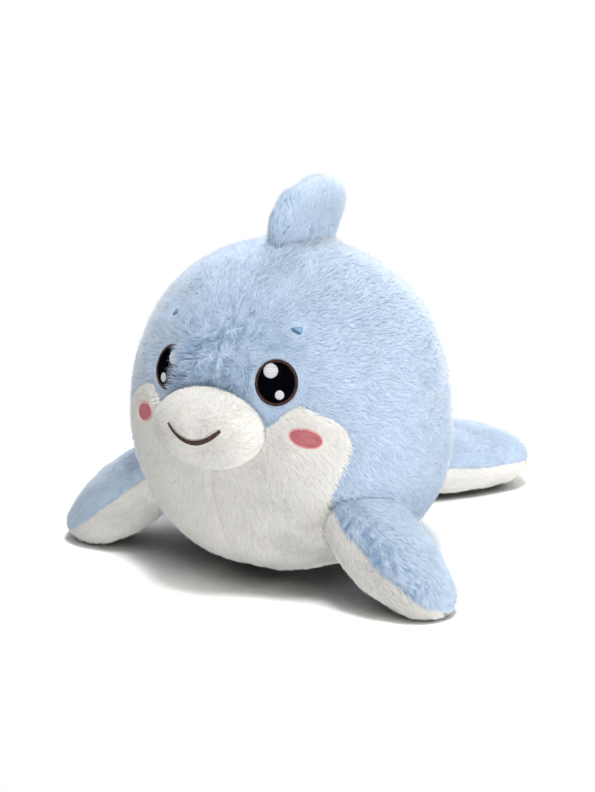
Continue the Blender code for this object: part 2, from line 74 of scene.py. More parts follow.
# The forms under the pile, as the part's source has them, but for the right brow tuck, which sits a
# little further out
BODY_SIZE = np.array([0.229, 0.220, 0.240])
FLAT_SPOT_RADIUS = 0.021
LOW_FULLNESS = 0.019
HIGH_FULLNESS = 0.020
REAR_FULLNESS = 0.149
BELLY_AXIS_ELEVATION = -35.0
BELLY_SEAM = (
    (0.0, 6.0),
    (14.0, 6.5),
    (23.0, 8.5),
    (28.0, 12.8),
    (33.5, 15.3),
    (40.5, 12.4),
    (46.5, 9.2),
    (51.0, 3.8),
    (50.8, -3.2),
    (48.0, -10.3),
    (45.3, -17.0),
    (44.8, -28.2),
    (50.0, -42.0),
    (66.0, -53.0),
    (100.0, -60.0),
    (140.0, -55.0),
    (180.0, -42.0),
)
MUZZLE_ELEVATION = 5.6
MUZZLE_HALF_WIDTH = 0.0437
MUZZLE_HALF_HEIGHT = 0.0286
MUZZLE_DEPTH = 0.0245
EYE_PLACE = {"left": (25.1, 23.2), "right": (22.9, 23.2)}
EYE_HALF_SIZE = (0.0149, 0.0159)
CHEEK_PLACE = (35.7, 3.9)
CHEEK_HALF_SIZE = (0.0122, 0.0068)
CHEEK_TILT = -18.0
BROW_PLACE = {"left": (33.3, 42.0), "right": (36.3, 42.0)}
BROW_TILT = -35.0
FIN_ELEVATION = 78.0
FIN_CENTRE_HEIGHT = 0.018
FIN_LENGTHS = (0.049, 0.041)
FIN_HEIGHTS = (0.044, 0.023)
FIN_HALF_THICKNESS = 0.0160
FIN_LEAN = 20.0
FLIPPER_LIE = {
    "left": {"azimuth": 65.8, "standoff": 0.021, "turn": 3.0, "slope": 41.0, "roll": -4.0},
    "right": {"azimuth": 78.5, "standoff": 0.029, "turn": -7.7, "slope": 38.7, "roll": 4.1},
}
FLIPPER_LENGTHS = (0.060, 0.0595)
FLIPPER_HALF_WIDTH = 0.0372
FLIPPER_THICKNESSES = (0.0315, 0.0220)
LIMB_SQUASH = 0.002
TAIL_REACH = 0.098
TAIL_STEM_LENGTH = 0.108
TAIL_STEM_HALF_WIDTH = 0.028
TAIL_STEM_LIFT = 0.020
TAIL_STEM_FULLNESS = 0.55
FLUKE_SPAN = 0.080
FLUKE_SWEEP = 0.026
FLUKE_FRONT_REACH = 0.055
FLUKE_REAR_REACH = 0.056
FLUKE_NOTCH_REACH = 0.040
TAIL_HALF_THICKNESS = 0.0275
FLUKE_FULLNESS = 0.30
LIMB_SEAT_GAP = 0.0009

# Cloth and pile: the woven back of the pile lies this far under the outside of the body and the muzzle
PILE_BED = 0.0018
MUZZLE_BED = 0.8 * PILE_BED
COVER_THICKNESS = 0.0022
SEAM_DEPTH = 0.0011
SEAM_WIDTH = 0.0030
FOOT_SINK = 0.0022
FLOOR_GAP = 0.0002

# How unevenly the body's filling lies: bulges between the eyes (place, height and radius), dents under
# the face's stitches (depth and radius) and one round the belly's low rim, its level and width taken as
# shares of the ball's radius
BULGES = (((-3, 26), 0.0018, 0.016), ((-11, 24), 0.0038, 0.012))
BROW_DENT = (0.0026, 0.0065)
EYE_DENT = (0.0014, 0.0165)
SMOOTH_CHEEK_RADIUS = 0.018
LOW_RIM_DENT = 0.0030
LOW_RIM_LEVEL = -0.92
LOW_RIM_WIDTH = 0.06

# The meshes of the covers
BED_COLUMNS = 180
BELLY_RINGS = 26
BACK_RINGS = 40
LIMB_COLUMNS = 96
LIMB_RINGS = 16
MUZZLE_COLUMNS = 112
MUZZLE_RINGS = 22

CENTRE = np.array(
    [0, 0, BODY_SIZE[2] / 2 * math.sqrt(1 - (2 * FLAT_SPOT_RADIUS / BODY_SIZE[0]) ** 2)]
)
SIDES = (("left", 1), ("right", -1))

# Screen colours, 0 to 255: the pile at its root, halfway and at its tip, deeper towards the root as painted
# shade down in the pile, and the threads
BLUE_PILE = ((162, 183, 207), (195, 212, 231), (210, 224, 239))
WHITE_PILE = ((222, 219, 212), (238, 236, 231), (247, 246, 243))
THREADS = {
    "black_thread": ((1, 1, 4), (8, 9, 15)),
    "brown_thread": ((24, 14, 12), (82, 55, 46)),
    "white_thread": ((192, 192, 198), (226, 226, 231)),
    "rose_thread": ((168, 94, 100), (192, 120, 124)),
    "rose_edge": ((214, 146, 150), (228, 172, 174)),
    # The brow tuck's fold thread is painted shade, and its stitches' teal is partly their thread and partly
    # painted shade of the tuck's dimple
    "tuck_thread": ((98, 138, 166), (136, 170, 196)),
    "tuck_edge": ((52, 84, 110), (74, 106, 132)),
}


def unit(vectors):
    return vectors / np.maximum(np.linalg.norm(vectors, axis=-1, keepdims=True), 1e-12)


def direction(azimuth, elevation):
    azimuth, elevation = np.broadcast_arrays(np.radians(azimuth), np.radians(elevation))
    flat = np.cos(elevation)
    return np.stack([np.sin(azimuth) * flat, -np.cos(azimuth) * flat, np.sin(elevation)], -1)


def waves(points, size, seed):
    """A smooth value between about -1 and 1 that varies over a given distance, the same on each run."""
    random = np.random.default_rng(seed)
    total = np.zeros(points.shape[:-1])
    for _ in range(7):
        way = unit(random.normal(size=3)) * random.uniform(0.7, 1.4) * 2 * math.pi / size
        total += np.sin(points @ way + random.uniform(0, 2 * math.pi))
    return total / 2.6


def fading(distance, width):
    """1 at no distance, falling smoothly to 0 over a width."""
    return np.exp(-((distance / width) ** 2))


def near(toward, place, radius):
    """1 at a place on the body, falling smoothly to 0 over a radius in metres."""
    away = np.arccos(np.clip(toward @ direction(*place), -1, 1)) * BODY_SIZE[0] / 2
    return fading(away, radius)


def mirrored(place, sign):
    """A place on the body, on its left side for 1 and on its right side for -1."""
    return sign * place[0], place[1]


def relief(toward):
    """Dents, bulges and seams in the body's covers: how far the surface lies over the plain ball."""
    uneven = 0.0007 * waves(toward, 0.9, 3) + 0.0004 * waves(toward, 0.35, 4)
    dents = SEAM_DEPTH * fading(toward[..., 0] * BODY_SIZE[0] / 2, SEAM_WIDTH)
    dents = dents + LOW_RIM_DENT * fading(toward[..., 2] - LOW_RIM_LEVEL, LOW_RIM_WIDTH)
    for side, sign in SIDES:
        uneven = uneven * (1 - near(toward, mirrored(CHEEK_PLACE, sign), SMOOTH_CHEEK_RADIUS))
        for place, (depth, radius) in ((BROW_PLACE[side], BROW_DENT), (EYE_PLACE[side], EYE_DENT)):
            dents = dents + depth * near(toward, mirrored(place, sign), radius)
    bulges = sum(height * near(toward, place, radius) for place, height, radius in BULGES)
    return uneven - dents + bulges


def body_radius(toward):
    ball = 1 / np.linalg.norm(2 * toward / BODY_SIZE, axis=-1)
    below = np.maximum(-toward[..., 2], 0) ** 2
    above = np.maximum(toward[..., 2], 0) ** 2
    fullness = LOW_FULLNESS * 4 * below * (1 - below) + HIGH_FULLNESS * 4 * above * (1 - above)
    fullness = fullness + REAR_FULLNESS * 2 * np.maximum(toward[..., 1], 0) * np.maximum(-toward[..., 2], 0)
    return ball * (1 + fullness)


def on_body(toward, height=0.0, relieved=True):
    """The point at a height above the body's surface, flat over the spot that it sits on."""
    dents = relief(toward) if relieved else 0
    point = CENTRE + toward * (body_radius(toward) + dents + height)[..., None]
    point[..., 2] = np.maximum(point[..., 2], np.maximum(-np.asarray(height), 0))
    return point


def axes_at(place):
    """The directions out of the body, across it and up it, at a place on it."""
    outward = direction(*place)
    across = unit(np.cross([0, 0, 1], outward))
    return outward, across, np.cross(outward, across)


def from_place(place, across, up, height):
    """The point at a height over the body, found across and up from a place on it."""
    outward, across_axis, up_axis = axes_at(place)
    across, up = np.asarray(across)[..., None], np.asarray(up)[..., None]
    origin = on_body(outward, relieved=False)
    toward = unit(origin + across * across_axis + up * up_axis - CENTRE)
    return on_body(toward, height, relieved=False)


def clear_of_body(points, along):
    """Points of a limb, with those inside the body slid out along an axis to just off it."""

    def inside(at):
        arm = at - CENTRE
        return np.linalg.norm(arm, axis=-1) < body_radius(unit(arm)) + LIMB_SEAT_GAP
    moved = inside(points)
    low = np.zeros(len(points))
    high = np.full(len(points), BODY_SIZE.sum())
    for _ in range(30):
        middle = (low + high) / 2
        hit = inside(points + along * middle[:, None])
        low = np.where(hit, middle, low)
        high = np.where(hit, high, middle)
    return np.where(moved[:, None], points + along * high[:, None], points)


def read_smoothly(bearings, knots):
    """Values read smoothly between knots, each a (bearing, value) pair, all the way round."""
    places = np.array([bearing for bearing, _ in knots])
    values = np.array([value for _, value in knots])
    offsets = (bearings[:, None] - places) % (2 * math.pi)
    start = offsets.argmin(1)
    end = (start + 1) % len(knots)
    after = (start + 2) % len(knots)
    before = start - 1
    span = (places[end] - places[start]) % (2 * math.pi)
    part = offsets[np.arange(len(bearings)), start] / span
    slope_in = (values[end] - values[before]) / ((places[end] - places[before]) % (2 * math.pi)) * span
    slope_out = (values[after] - values[start]) / ((places[after] - places[start]) % (2 * math.pi)) * span
    rise = part * part * (3 - 2 * part)
    bulge = part * (1 - part) ** 2 * slope_in + part * part * (part - 1) * slope_out
    return values[start] + (values[end] - values[start]) * rise + bulge


def belly_frame():
    axis = direction(0, BELLY_AXIS_ELEVATION)
    return axis, direction(0, BELLY_AXIS_ELEVATION + 90), np.array([1.0, 0, 0])


def belly_knots():
    """The belly seam's points as (bearing round the belly's axis, angle from it), all the way round."""
    axis, up, across = belly_frame()
    left = []
    for azimuth, elevation in BELLY_SEAM:
        toward = direction(azimuth, elevation)
        bearing = math.atan2(toward @ across, toward @ up) % (2 * math.pi)
        left.append((bearing, math.acos(toward @ axis)))
    right = [(2 * math.pi - bearing, angle) for bearing, angle in reversed(left[1:-1])]
    return left + right


def belly_direction(bearings, angles):
    axis, up, across = belly_frame()
    side = np.cos(bearings)[..., None] * up + np.sin(bearings)[..., None] * across
    return np.cos(angles)[..., None] * axis + np.sin(angles)[..., None] * side


def rounded_patch(rings, columns):
    """A patch's points, its pole and then its rings: each one's share of the way out, and its bearing."""
    shares = np.sin(math.pi / 2 * np.arange(1, rings + 1) / rings)
    turns = 2 * math.pi * np.arange(columns) / columns
    return np.append(0.0, np.repeat(shares, columns)), np.append(0.0, np.tile(turns, rings))


def patch_faces(rings, columns, closed):
    """Triangles of a patch whose points are its pole and then its rings, each with this many columns."""
    steps = columns if closed else columns - 1
    column = np.arange(steps)
    following = (column + 1) % columns
    faces = [np.stack([0 * column, 1 + column, 1 + following], 1)]
    for ring in range(1, rings):
        inner = 1 + (ring - 1) * columns
        outer = inner + columns
        faces.append(np.stack([inner + column, outer + column, outer + following], 1))
        faces.append(np.stack([inner + column, outer + following, inner + following], 1))
    return np.concatenate(faces)


def crosses(points, faces):
    """A vector out of each face, as long as twice the face's area."""
    corners = points[faces]
    return np.cross(corners[:, 1] - corners[:, 0], corners[:, 2] - corners[:, 0])


def normals_of(points, faces):
    """Outward unit normals at the points of a rounded form."""
    cross = crosses(points, faces)
    normals = np.zeros_like(points)
    for corner in range(3):
        np.add.at(normals, faces[:, corner], cross)
    return unit(normals)


def facing_out(points, faces, middle):
    """The faces, all turned round if they look towards the form's middle."""
    outward = (crosses(points, faces) * (points[faces].mean(1) - middle)).sum()
    return faces if outward > 0 else faces[:, ::-1]


def shell(faces, count):
    """The faces of a shell: its outside, its inside, whose points come after the outside's, and the hem."""
    edges = np.concatenate([faces[:, [0, 1]], faces[:, [1, 2]], faces[:, [2, 0]]])
    _, index, sharing = np.unique(np.sort(edges, 1), axis=0, return_index=True, return_counts=True)
    first, second = edges[index[sharing == 1]].T
    hem = ([second, first, first + count], [second, first + count, second + count])
    return np.concatenate([faces, faces[:, ::-1] + count, *(np.stack(half, 1) for half in hem)])


def mesh_object(name, points, faces, finish, normals=None, values=None, places=None):
    """A smooth object from arrays.

    values are named ones at its points, and places give each point's place in the image it is baked on.
    """
    mesh = bpy.data.meshes.new(name)
    size = faces.shape[1]
    mesh.vertices.add(len(points))
    mesh.vertices.foreach_set("co", points.astype(np.float32).ravel())
    mesh.loops.add(faces.size)
    mesh.loops.foreach_set("vertex_index", faces.astype(np.int32).ravel())
    mesh.polygons.add(len(faces))
    mesh.polygons.foreach_set("loop_start", np.arange(0, faces.size, size, dtype=np.int32))
    mesh.polygons.foreach_set("loop_total", np.full(len(faces), size, np.int32))
    mesh.update(calc_edges=True)
    mesh.shade_smooth()
    for key, value in (values or {}).items():
        mesh.attributes.new(key, "FLOAT", "POINT").data.foreach_set("value", value.astype(np.float32))
    if places is not None:
        layer = mesh.uv_layers.new(name="OFBake", do_init=False)
        layer.uv.foreach_set("vector", places[faces.ravel()].astype(np.float32).ravel())
    if normals is not None:
        mesh.normals_split_custom_set_from_vertices(normals.tolist())
    mesh.materials.append(finish)
    made = bpy.data.objects.new(name, mesh)
    bpy.context.scene.collection.objects.link(made)
    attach(made, "root")
    return made


def cover(name, points, faces, plush, node, middle):
    """A sewn cover in place of a node: its outside, an inside a cloth's thickness below, and its hem."""
    faces = facing_out(points, faces, middle)
    inner = points - normals_of(points, faces) * COVER_THICKNESS
    made = mesh_object(name, np.concatenate([points, inner]), shell(faces, len(points)), plush["bed"])
    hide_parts(node)


def cells(count):
    """The corner and size of an image cell for each of a number of like small things."""
    across = math.ceil(math.sqrt(count))
    index = np.arange(count)
    corner = np.stack([index % across, index // across], 1) / across
    return corner, 1 / across


def sow(points, faces, normals, count, random):
    """Roots spread evenly over a surface, with the surface's normal at each."""
    areas = np.linalg.norm(crosses(points, faces), axis=1)
    reached = np.cumsum(areas) / areas.sum()
    face = np.searchsorted(reached, (np.arange(count) + random.random(count)) / count)
    corners = faces[np.minimum(face, len(faces) - 1)]
    first, second = random.random((2, count))
    over = first + second > 1
    first, second = np.where(over, 1 - first, first), np.where(over, 1 - second, second)
    shares = np.stack([1 - first - second, first, second], 1)[..., None]
    return (points[corners] * shares).sum(1), unit((normals[corners] * shares).sum(1))


def tree_of(points):
    """A search tree that finds the nearest of some points."""
    tree = KDTree(len(points))
    for index, point in enumerate(points):
        tree.insert(point, index)
    tree.balance()
    return tree


TUFT_WIDTH = 0.00073
TUFT_ROOT_DEPTH = 0.0004
TUFT_CLUMPING = 0.25
TUFT_TONE = 0.78
SPIKE_FACES = np.array([[0, 2, 3], [2, 1, 3], [1, 0, 3], [0, 1, 2]])
SPIKE_PLACES = np.array([[0.1, 0.1], [0.9, 0.1], [0.5, 0.22], [0.5, 0.9]])


def pile(
    name, bed, count, nap, length, plush, keep, seed, lean,
    width=TUFT_WIDTH, swirl=24.0, stand=None, shade=None,
):
    """Tufts of pile on a bed (points, faces, normals), each a closed spike that lies along the nap.

    nap gives the way the pile lies at some points, keep the roots to use with a length share for each,
    lean the angle off the cloth and swirl how far the nap wanders, both in degrees. stand adds to the
    angle at a root and shade deepens the tone there with painted shade.
    """
    random = np.random.default_rng(seed)
    roots, outward = sow(*bed, count, random)
    shares = keep(roots)
    roots, outward, shares = roots[shares > 0], outward[shares > 0], shares[shares > 0]
    count = len(roots)

    way = nap(roots)
    way = unit(way - outward * (way * outward).sum(1)[:, None])
    turn = np.radians(swirl) * (0.8 * waves(roots, 0.034, seed + 1) + 0.35 * waves(roots, 0.010, seed + 2))
    turn += np.radians(10) * random.normal(size=count)
    way = way * np.cos(turn)[:, None] + np.cross(outward, way) * np.sin(turn)[:, None]
    rise = lean + 3 * waves(roots, 0.012, seed + 3) + 4 * random.normal(size=count)
    if stand:
        rise += stand(roots)
    rise = np.radians(rise).clip(0.1, 1.2)
    way = way * np.cos(rise)[:, None] + outward * np.sin(rise)[:, None]
    lengths = length * shares * random.uniform(0.8, 1.15, count)
    tips = roots + way * lengths[:, None]

    # The tips draw together in clumps, each round the nearest of the leading tufts
    leaders = random.choice(count, count // 5, replace=False)
    tree = tree_of(roots[leaders])
    nearest = leaders[[tree.find(root)[1] for root in roots]]
    tips += (tips[nearest] - tips) * TUFT_CLUMPING * random.uniform(0.4, 1.3, count)[:, None]
    way = unit(tips - roots)

    side = unit(np.cross(way, outward))
    top = np.cross(side, way)
    widths = (width * random.uniform(0.75, 1.25, count))[:, None]
    half = side * widths / 2
    roots = roots - outward * TUFT_ROOT_DEPTH
    points = np.stack([roots - half, roots + half, roots + top * widths * 0.6, tips], 1)
    points[..., 2] = np.maximum(points[..., 2], FLOOR_GAP)
    spread = (-0.35 * side, 0.35 * side, 0.2 * top, 0.25 * way)
    soft = unit(np.stack([outward + part for part in spread], 1))
    faces = 4 * np.arange(count)[:, None, None] + SPIKE_FACES

    tone = TUFT_TONE + 0.09 * random.normal(size=count)[nearest] + 0.07 * random.normal(size=count)
    if shade:
        tone -= shade(roots)
    values = {
        "along": np.tile([0.0, 0.0, 0.0, 1.0], count),
        "tone": np.repeat(tone.clip(0, 1), 4),
    }
    corner, size = cells(count)
    tufts = (points, faces, soft, corner[:, None] + size * SPIKE_PLACES)
    points, faces, soft, places = (rows.reshape(-1, rows.shape[-1]) for rows in tufts)
    made = mesh_object(name, points, faces, plush["pile"], soft, values, places)


def linear(value):
    value /= 255
    return value / 12.92 if value <= 0.04045 else ((value + 0.055) / 1.055) ** 2.4


def colour(screen):
    return (*map(linear, screen), 1)


def shader_of(name):
    made = bpy.data.materials.new(name)
    made.use_nodes = True
    return made, made.node_tree, made.node_tree.nodes["Principled BSDF"]


def noise(tree, scale, detail=3.0):
    place = tree.nodes.new("ShaderNodeTexCoord")
    texture = tree.nodes.new("ShaderNodeTexNoise")
    texture.inputs["Scale"].default_value = scale
    texture.inputs["Detail"].default_value = detail
    tree.links.new(place.outputs["Object"], texture.inputs["Vector"])
    return texture.outputs["Fac"]


def ramp(tree, value, *stops):
    """Colours read from a value, each stop a (place, screen colour) pair."""
    made = tree.nodes.new("ShaderNodeValToRGB")
    elements = made.color_ramp.elements
    while len(elements) < len(stops):
        elements.new(0.5)
    for element, (place, screen) in zip(elements, stops):
        element.position = place
        element.color = colour(screen)
    tree.links.new(value, made.inputs["Fac"])
    return made.outputs["Color"]


def mixed(tree, kind, share, first, second):
    """Two colours mixed, the share a number or a socket."""
    made = tree.nodes.new("ShaderNodeMix")
    made.data_type = "RGBA"
    made.blend_type = kind
    sockets = {socket.identifier: socket for socket in made.inputs}
    if isinstance(share, float):
        sockets["Factor_Float"].default_value = share
    else:
        tree.links.new(share, sockets["Factor_Float"])
    tree.links.new(first, sockets["A_Color"])
    tree.links.new(second, sockets["B_Color"])
    return next(socket for socket in made.outputs if socket.identifier == "Result_Color")


def attribute(tree, name):
    made = tree.nodes.new("ShaderNodeAttribute")
    made.attribute_name = name
    return made.outputs["Fac"]


def grey_ramp(tree, value, low, high):
    return ramp(tree, value, (0.0, (low,) * 3), (1.0, (high,) * 3))


def bump(tree, shader, height, distance, strength=1.0):
    made = tree.nodes.new("ShaderNodeBump")
    made.inputs["Distance"].default_value = distance
    made.inputs["Strength"].default_value = strength
    tree.links.new(height, made.inputs["Height"])
    tree.links.new(made.outputs["Normal"], shader.inputs["Normal"])


def pile_finish(name, colours, deep, sheen):
    """Plush pile: pale at the tip and deeper at the root as painted shade; some tufts run to a deeper tone.
    """
    made, tree, shader = shader_of(name)
    root, half, tip = colours
    base = ramp(tree, attribute(tree, "along"), (0.0, root), (0.45, half), (1.0, tip))
    tones = ramp(tree, attribute(tree, "tone"), (0.0, deep), (1.0, (255, 255, 255)))
    toned = mixed(tree, "MULTIPLY", 1.0, base, tones)
    blotched = mixed(tree, "MULTIPLY", 1.0, toned, grey_ramp(tree, noise(tree, 28.0), 243, 255))
    tree.links.new(blotched, shader.inputs["Base Color"])
    shader.inputs["Roughness"].default_value = 0.85
    shader.inputs["Specular IOR Level"].default_value = 0.2
    shader.inputs["Sheen Weight"].default_value = sheen
    shader.inputs["Sheen Roughness"].default_value = 0.4
    return made


def bed_finish(name, colours):
    """The cloth that the pile stands in: mottled in the pile's root colour, painted shade, and halfway
    colour, with short fuzz as fine bumps.
    """
    made, tree, shader = shader_of(name)
    root, half, _ = colours
    base = ramp(tree, noise(tree, 900.0, 4.0), (0.3, root), (0.7, half))
    blotched = mixed(tree, "MULTIPLY", 1.0, base, grey_ramp(tree, noise(tree, 28.0), 236, 255))
    tree.links.new(blotched, shader.inputs["Base Color"])
    shader.inputs["Roughness"].default_value = 0.95
    shader.inputs["Sheen Weight"].default_value = 0.2
    bump(tree, shader, noise(tree, 1400.0, 5.0), 0.0008)
    return made


def thread_finish(name, low, high):
    """Embroidery thread: each stitch a little lighter or darker, with a fine twist and a soft gloss."""
    made, tree, shader = shader_of(name)
    tree.links.new(
        ramp(tree, attribute(tree, "tone"), (0.0, low), (1.0, high)), shader.inputs["Base Color"]
    )
    shader.inputs["Roughness"].default_value = 0.6
    shader.inputs["Specular IOR Level"].default_value = 0.0 if name.startswith("black") else 0.3
    bump(tree, shader, noise(tree, 3200.0, 2.0), 0.00012, 0.6)
    return made


def stuffing_finish():
    made, tree, shader = shader_of("fibre_stuffing")
    tree.links.new(
        ramp(tree, noise(tree, 240.0, 5.0), (0.3, (226, 225, 220)), (0.7, (250, 249, 246))),
        shader.inputs["Base Color"],
    )
    shader.inputs["Roughness"].default_value = 1.0
    bump(tree, shader, noise(tree, 420.0, 6.0), 0.002)
    return made


def plush_of(name, colours, deep, sheen):
    """The finishes of one colour of plush, and its slot."""
    return {
        "pile": pile_finish(f"{name}_pile", colours, deep, sheen),
        "bed": bed_finish(f"{name}_cloth", colours),
        "slot": f"{name}_plush",
    }


BLUE = plush_of("blue", BLUE_PILE, (168, 189, 209), 0.5)
WHITE = plush_of("white", WHITE_PILE, (222, 220, 214), 0.2)
THREAD_FINISH = {name: thread_finish(name, *tones) for name, tones in THREADS.items()}


def backwards(axis, spread=0.0, middle=(0, 0, 0)):
    """A nap that runs along an axis and spreads away from a middle."""
    axis = np.array(axis, float)

    def nap(points):
        return axis + spread * unit(points - np.array(middle))

    return nap


def limb_form(outline, thickness, to_world):
    """The closed form of a limb: its points, its upper and its under faces, and its points' seam shares."""
    share, turn = rounded_patch(LIMB_RINGS, LIMB_COLUMNS)
    u, v = outline(turn)
    along, across = share * u, share * v
    halves = []
    for side in (1, -1):
        deep = side * thickness(along, across, side) * np.sqrt(np.maximum(1 - share**2, 0))
        halves.append(to_world(along, across, deep))
    count = len(share)
    inner = count - LIMB_COLUMNS
    points = np.concatenate([halves[0], halves[1][:inner]])
    share = np.concatenate([share, share[:inner]])
    upper = patch_faces(LIMB_RINGS, LIMB_COLUMNS, True)
    under = np.where(upper >= inner, upper, upper + count)
    middle = points.mean(0)
    return points, facing_out(points, upper, middle), facing_out(points, under, middle), share


def within(share, thickness, u, v, w):
    """Which points, in a limb's own frame, lie inside it, at a share of the way to its seam."""
    half = np.where(w > 0, thickness(u, v, 1), thickness(u, v, -1))
    return (share < 1) & (np.abs(w) < half * np.sqrt(np.maximum(1 - share**2, 0)))


def height_over_body(points):
    arm = points - CENTRE
    return np.linalg.norm(arm, axis=1) - body_radius(unit(arm))


def sink(points, normals, share, depth, dents):
    """The bed of a limb's pile: pulled in under its outside, and its foot sunk in the body's pile."""
    arm = points - CENTRE
    away = height_over_body(points)
    near_body = np.clip(away / 0.008, 0.15, 1)
    points = points - unit(arm) * (FOOT_SINK * fading(away, 0.004))[:, None]
    seam = 0.4 * SEAM_DEPTH * fading(1 - share, 0.006)
    soft = 0.0006 * waves(points, 0.045, 11) + 0.0003 * waves(points, 0.02, 12)
    bed = points - normals * (depth * near_body + seam + soft * near_body + dents(points))[:, None]
    bed[:, 2] = np.maximum(bed[:, 2], depth * 0.6)
    return bed


def no_dents(points):
    return 0


def clear_of_foot(roots):
    """A length share for each root on a limb: 0 where its foot is in the body's pile, and at the floor."""
    return (height_over_body(roots) > 0.0003 - FOOT_SINK) * (roots[:, 2] > 0.0016) * 1.0


def limb(halves, form, nap, length, fill, seed, lean, dents=no_dents, **pile_settings):
    """One limb: a cover and its pile for each half, given as its name, plush, count of tufts and shade."""
    points, upper, under, share = form
    faces = np.concatenate([upper, under])
    depth = 0.8 * length * math.sin(math.radians(lean))
    bed = sink(points, normals_of(points, faces), share, depth, dents)
    normals = normals_of(bed, faces)
    middle = points.mean(0)
    for index, ((name, plush, count, shade), half) in enumerate(zip(halves, (upper, under))):
        used, compact = np.unique(half, return_inverse=True)
        compact = compact.reshape(-1, 3)
        cover(f"{name}_cover", bed[used], compact, plush, f"{name}_panel", middle)
        pile(
            f"{name}_pile", (bed[used], compact, normals[used]), count, nap, length, plush,
            clear_of_foot, seed + 20 * index, lean, shade=shade, **pile_settings,
        )
    return bed[height_over_body(bed) < 0.002]


def fin_form():
    def outline(turns):
        along, up = np.cos(turns), np.sin(turns)
        return np.where(along < 0, *FIN_LENGTHS) * along, np.where(up < 0, *FIN_HEIGHTS) * up

    def thickness(u, v, half):
        return FIN_HALF_THICKNESS

    middle = on_body(direction(180, FIN_ELEVATION), FIN_CENTRE_HEIGHT, relieved=False)
    lean = math.tan(math.radians(FIN_LEAN))
    upward = unit(np.array([0, lean, 1.0]))

    def to_world(u, v, w):
        return clear_of_body(middle + np.stack([w, u + v * lean, v], 1), upward)

    def holds(points):
        w, along, v = (points - middle).T
        u = along - v * lean
        share = np.hypot(u / np.where(u < 0, *FIN_LENGTHS), v / np.where(v < 0, *FIN_HEIGHTS))
        return within(share, thickness, u, v, w)

    return limb_form(outline, thickness, to_world), holds


def flipper_form(side, sign):
    lie = FLIPPER_LIE[side]
    mirror = np.array([sign, 1, 1])

    def outline(turns):
        along = np.cos(turns)
        return np.where(along < 0, *FLIPPER_LENGTHS) * along, FLIPPER_HALF_WIDTH * np.sin(turns)

    def thickness(u, v, half):
        return FLIPPER_THICKNESSES[1] if half > 0 else FLIPPER_THICKNESSES[0]

    turned = np.array(
        Matrix.Rotation(math.radians(lie["turn"]), 3, "Z")
        @ Matrix.Rotation(math.radians(lie["slope"]), 3, "Y")
        @ Matrix.Rotation(math.radians(lie["roll"]), 3, "X")
    )
    flat = limb_form(outline, thickness, lambda u, v, w: np.stack([u, v, w], 1))[0]
    height = -(flat @ turned.T)[:, 2].min() - LIMB_SQUASH
    outward = direction(lie["azimuth"], 0)
    distance = BODY_SIZE[0] / 2
    for _ in range(30):
        middle = outward * distance + np.array([0, 0, height])
        arm = middle - CENTRE
        distance += body_radius(unit(arm)) + lie["standoff"] - np.linalg.norm(arm)

    def to_world(u, v, w):
        points = clear_of_body(middle + np.stack([u, v, w], 1) @ turned.T, turned[:, 0])
        points[:, 2] = np.maximum(points[:, 2], 0)
        return points * mirror

    def holds(points):
        u, v, w = ((points * mirror - middle) @ turned).T
        share = np.hypot(u / np.where(u < 0, *FLIPPER_LENGTHS), v / FLIPPER_HALF_WIDTH)
        return within(share, thickness, u, v, w)

    return limb_form(outline, thickness, to_world), holds, turned[:, 0] * mirror, middle * mirror


def tail_form():
    left = (
        (FLUKE_NOTCH_REACH, 0),
        (FLUKE_REAR_REACH, 0.42 * FLUKE_SPAN),
        (0.6 * FLUKE_SWEEP + 0.5 * FLUKE_REAR_REACH, 0.88 * FLUKE_SPAN),
        (FLUKE_SWEEP, FLUKE_SPAN),
        (0, 0.84 * FLUKE_SPAN),
        (-0.68 * FLUKE_FRONT_REACH, 0.5 * FLUKE_SPAN),
        (-FLUKE_FRONT_REACH, TAIL_STEM_HALF_WIDTH),
        (-0.75 * TAIL_STEM_LENGTH, TAIL_STEM_HALF_WIDTH),
        (-TAIL_STEM_LENGTH, 0),
    )
    knots = [(math.atan2(v, u) % (2 * math.pi), math.hypot(u, v)) for u, v in left]
    knots += [(2 * math.pi - bearing, reach) for bearing, reach in reversed(knots[1:-1])]

    def outline(turns):
        reach = read_smoothly(turns, knots)
        return reach * np.cos(turns), reach * np.sin(turns)

    def thickness(u, v, half):
        stem = np.maximum(-u, 0) / TAIL_STEM_LENGTH
        fullness = TAIL_STEM_FULLNESS * stem + FLUKE_FULLNESS * (v / FLUKE_SPAN) ** 2
        return TAIL_HALF_THICKNESS * (1 + fullness)

    def lift(u):
        return TAIL_STEM_LIFT * np.clip(-u / TAIL_STEM_LENGTH, 0, 1) ** 1.5

    rear = on_body(direction(180, -35), relieved=False)
    middle = np.array([0, rear[1] + TAIL_REACH, TAIL_HALF_THICKNESS - LIMB_SQUASH])

    def to_world(u, v, w):
        points = clear_of_body(middle + np.stack([v, u, w + lift(u)], 1), np.array([0, 1.0, 0]))
        points[:, 2] = np.maximum(points[:, 2], 0)
        return points

    def holds(points):
        v, u, w = (points - middle).T
        share = np.hypot(u, v) / read_smoothly(np.arctan2(v, u) % (2 * math.pi), knots)
        return within(share, thickness, u, v, w - lift(u))

    return limb_form(outline, thickness, to_world), holds, middle


def front_shade(roots):
    """Painted shade where the flippers' pile is ruffled towards the front: tufts darken there in patches.
    """
    forward = np.clip((-0.058 - roots[:, 1]) / 0.03, 0, 1)
    return forward * np.clip(0.2 + 0.9 * waves(roots, 0.007, 71), -0.08, 1)


def at_point(points, place, radius):
    """1 at a place, falling smoothly to 0 over a radius."""
    return fading(np.linalg.norm(points - np.array(place), axis=1), radius)


def along_line(points, start, end, radius):
    """1 on the line between two points, falling to 0 over a radius."""
    start, end = np.array(start), np.array(end)
    run = end - start
    share = ((points - start) @ run / (run @ run)).clip(0, 1)
    return fading(np.linalg.norm(points - start - share[:, None] * run, axis=1), radius)


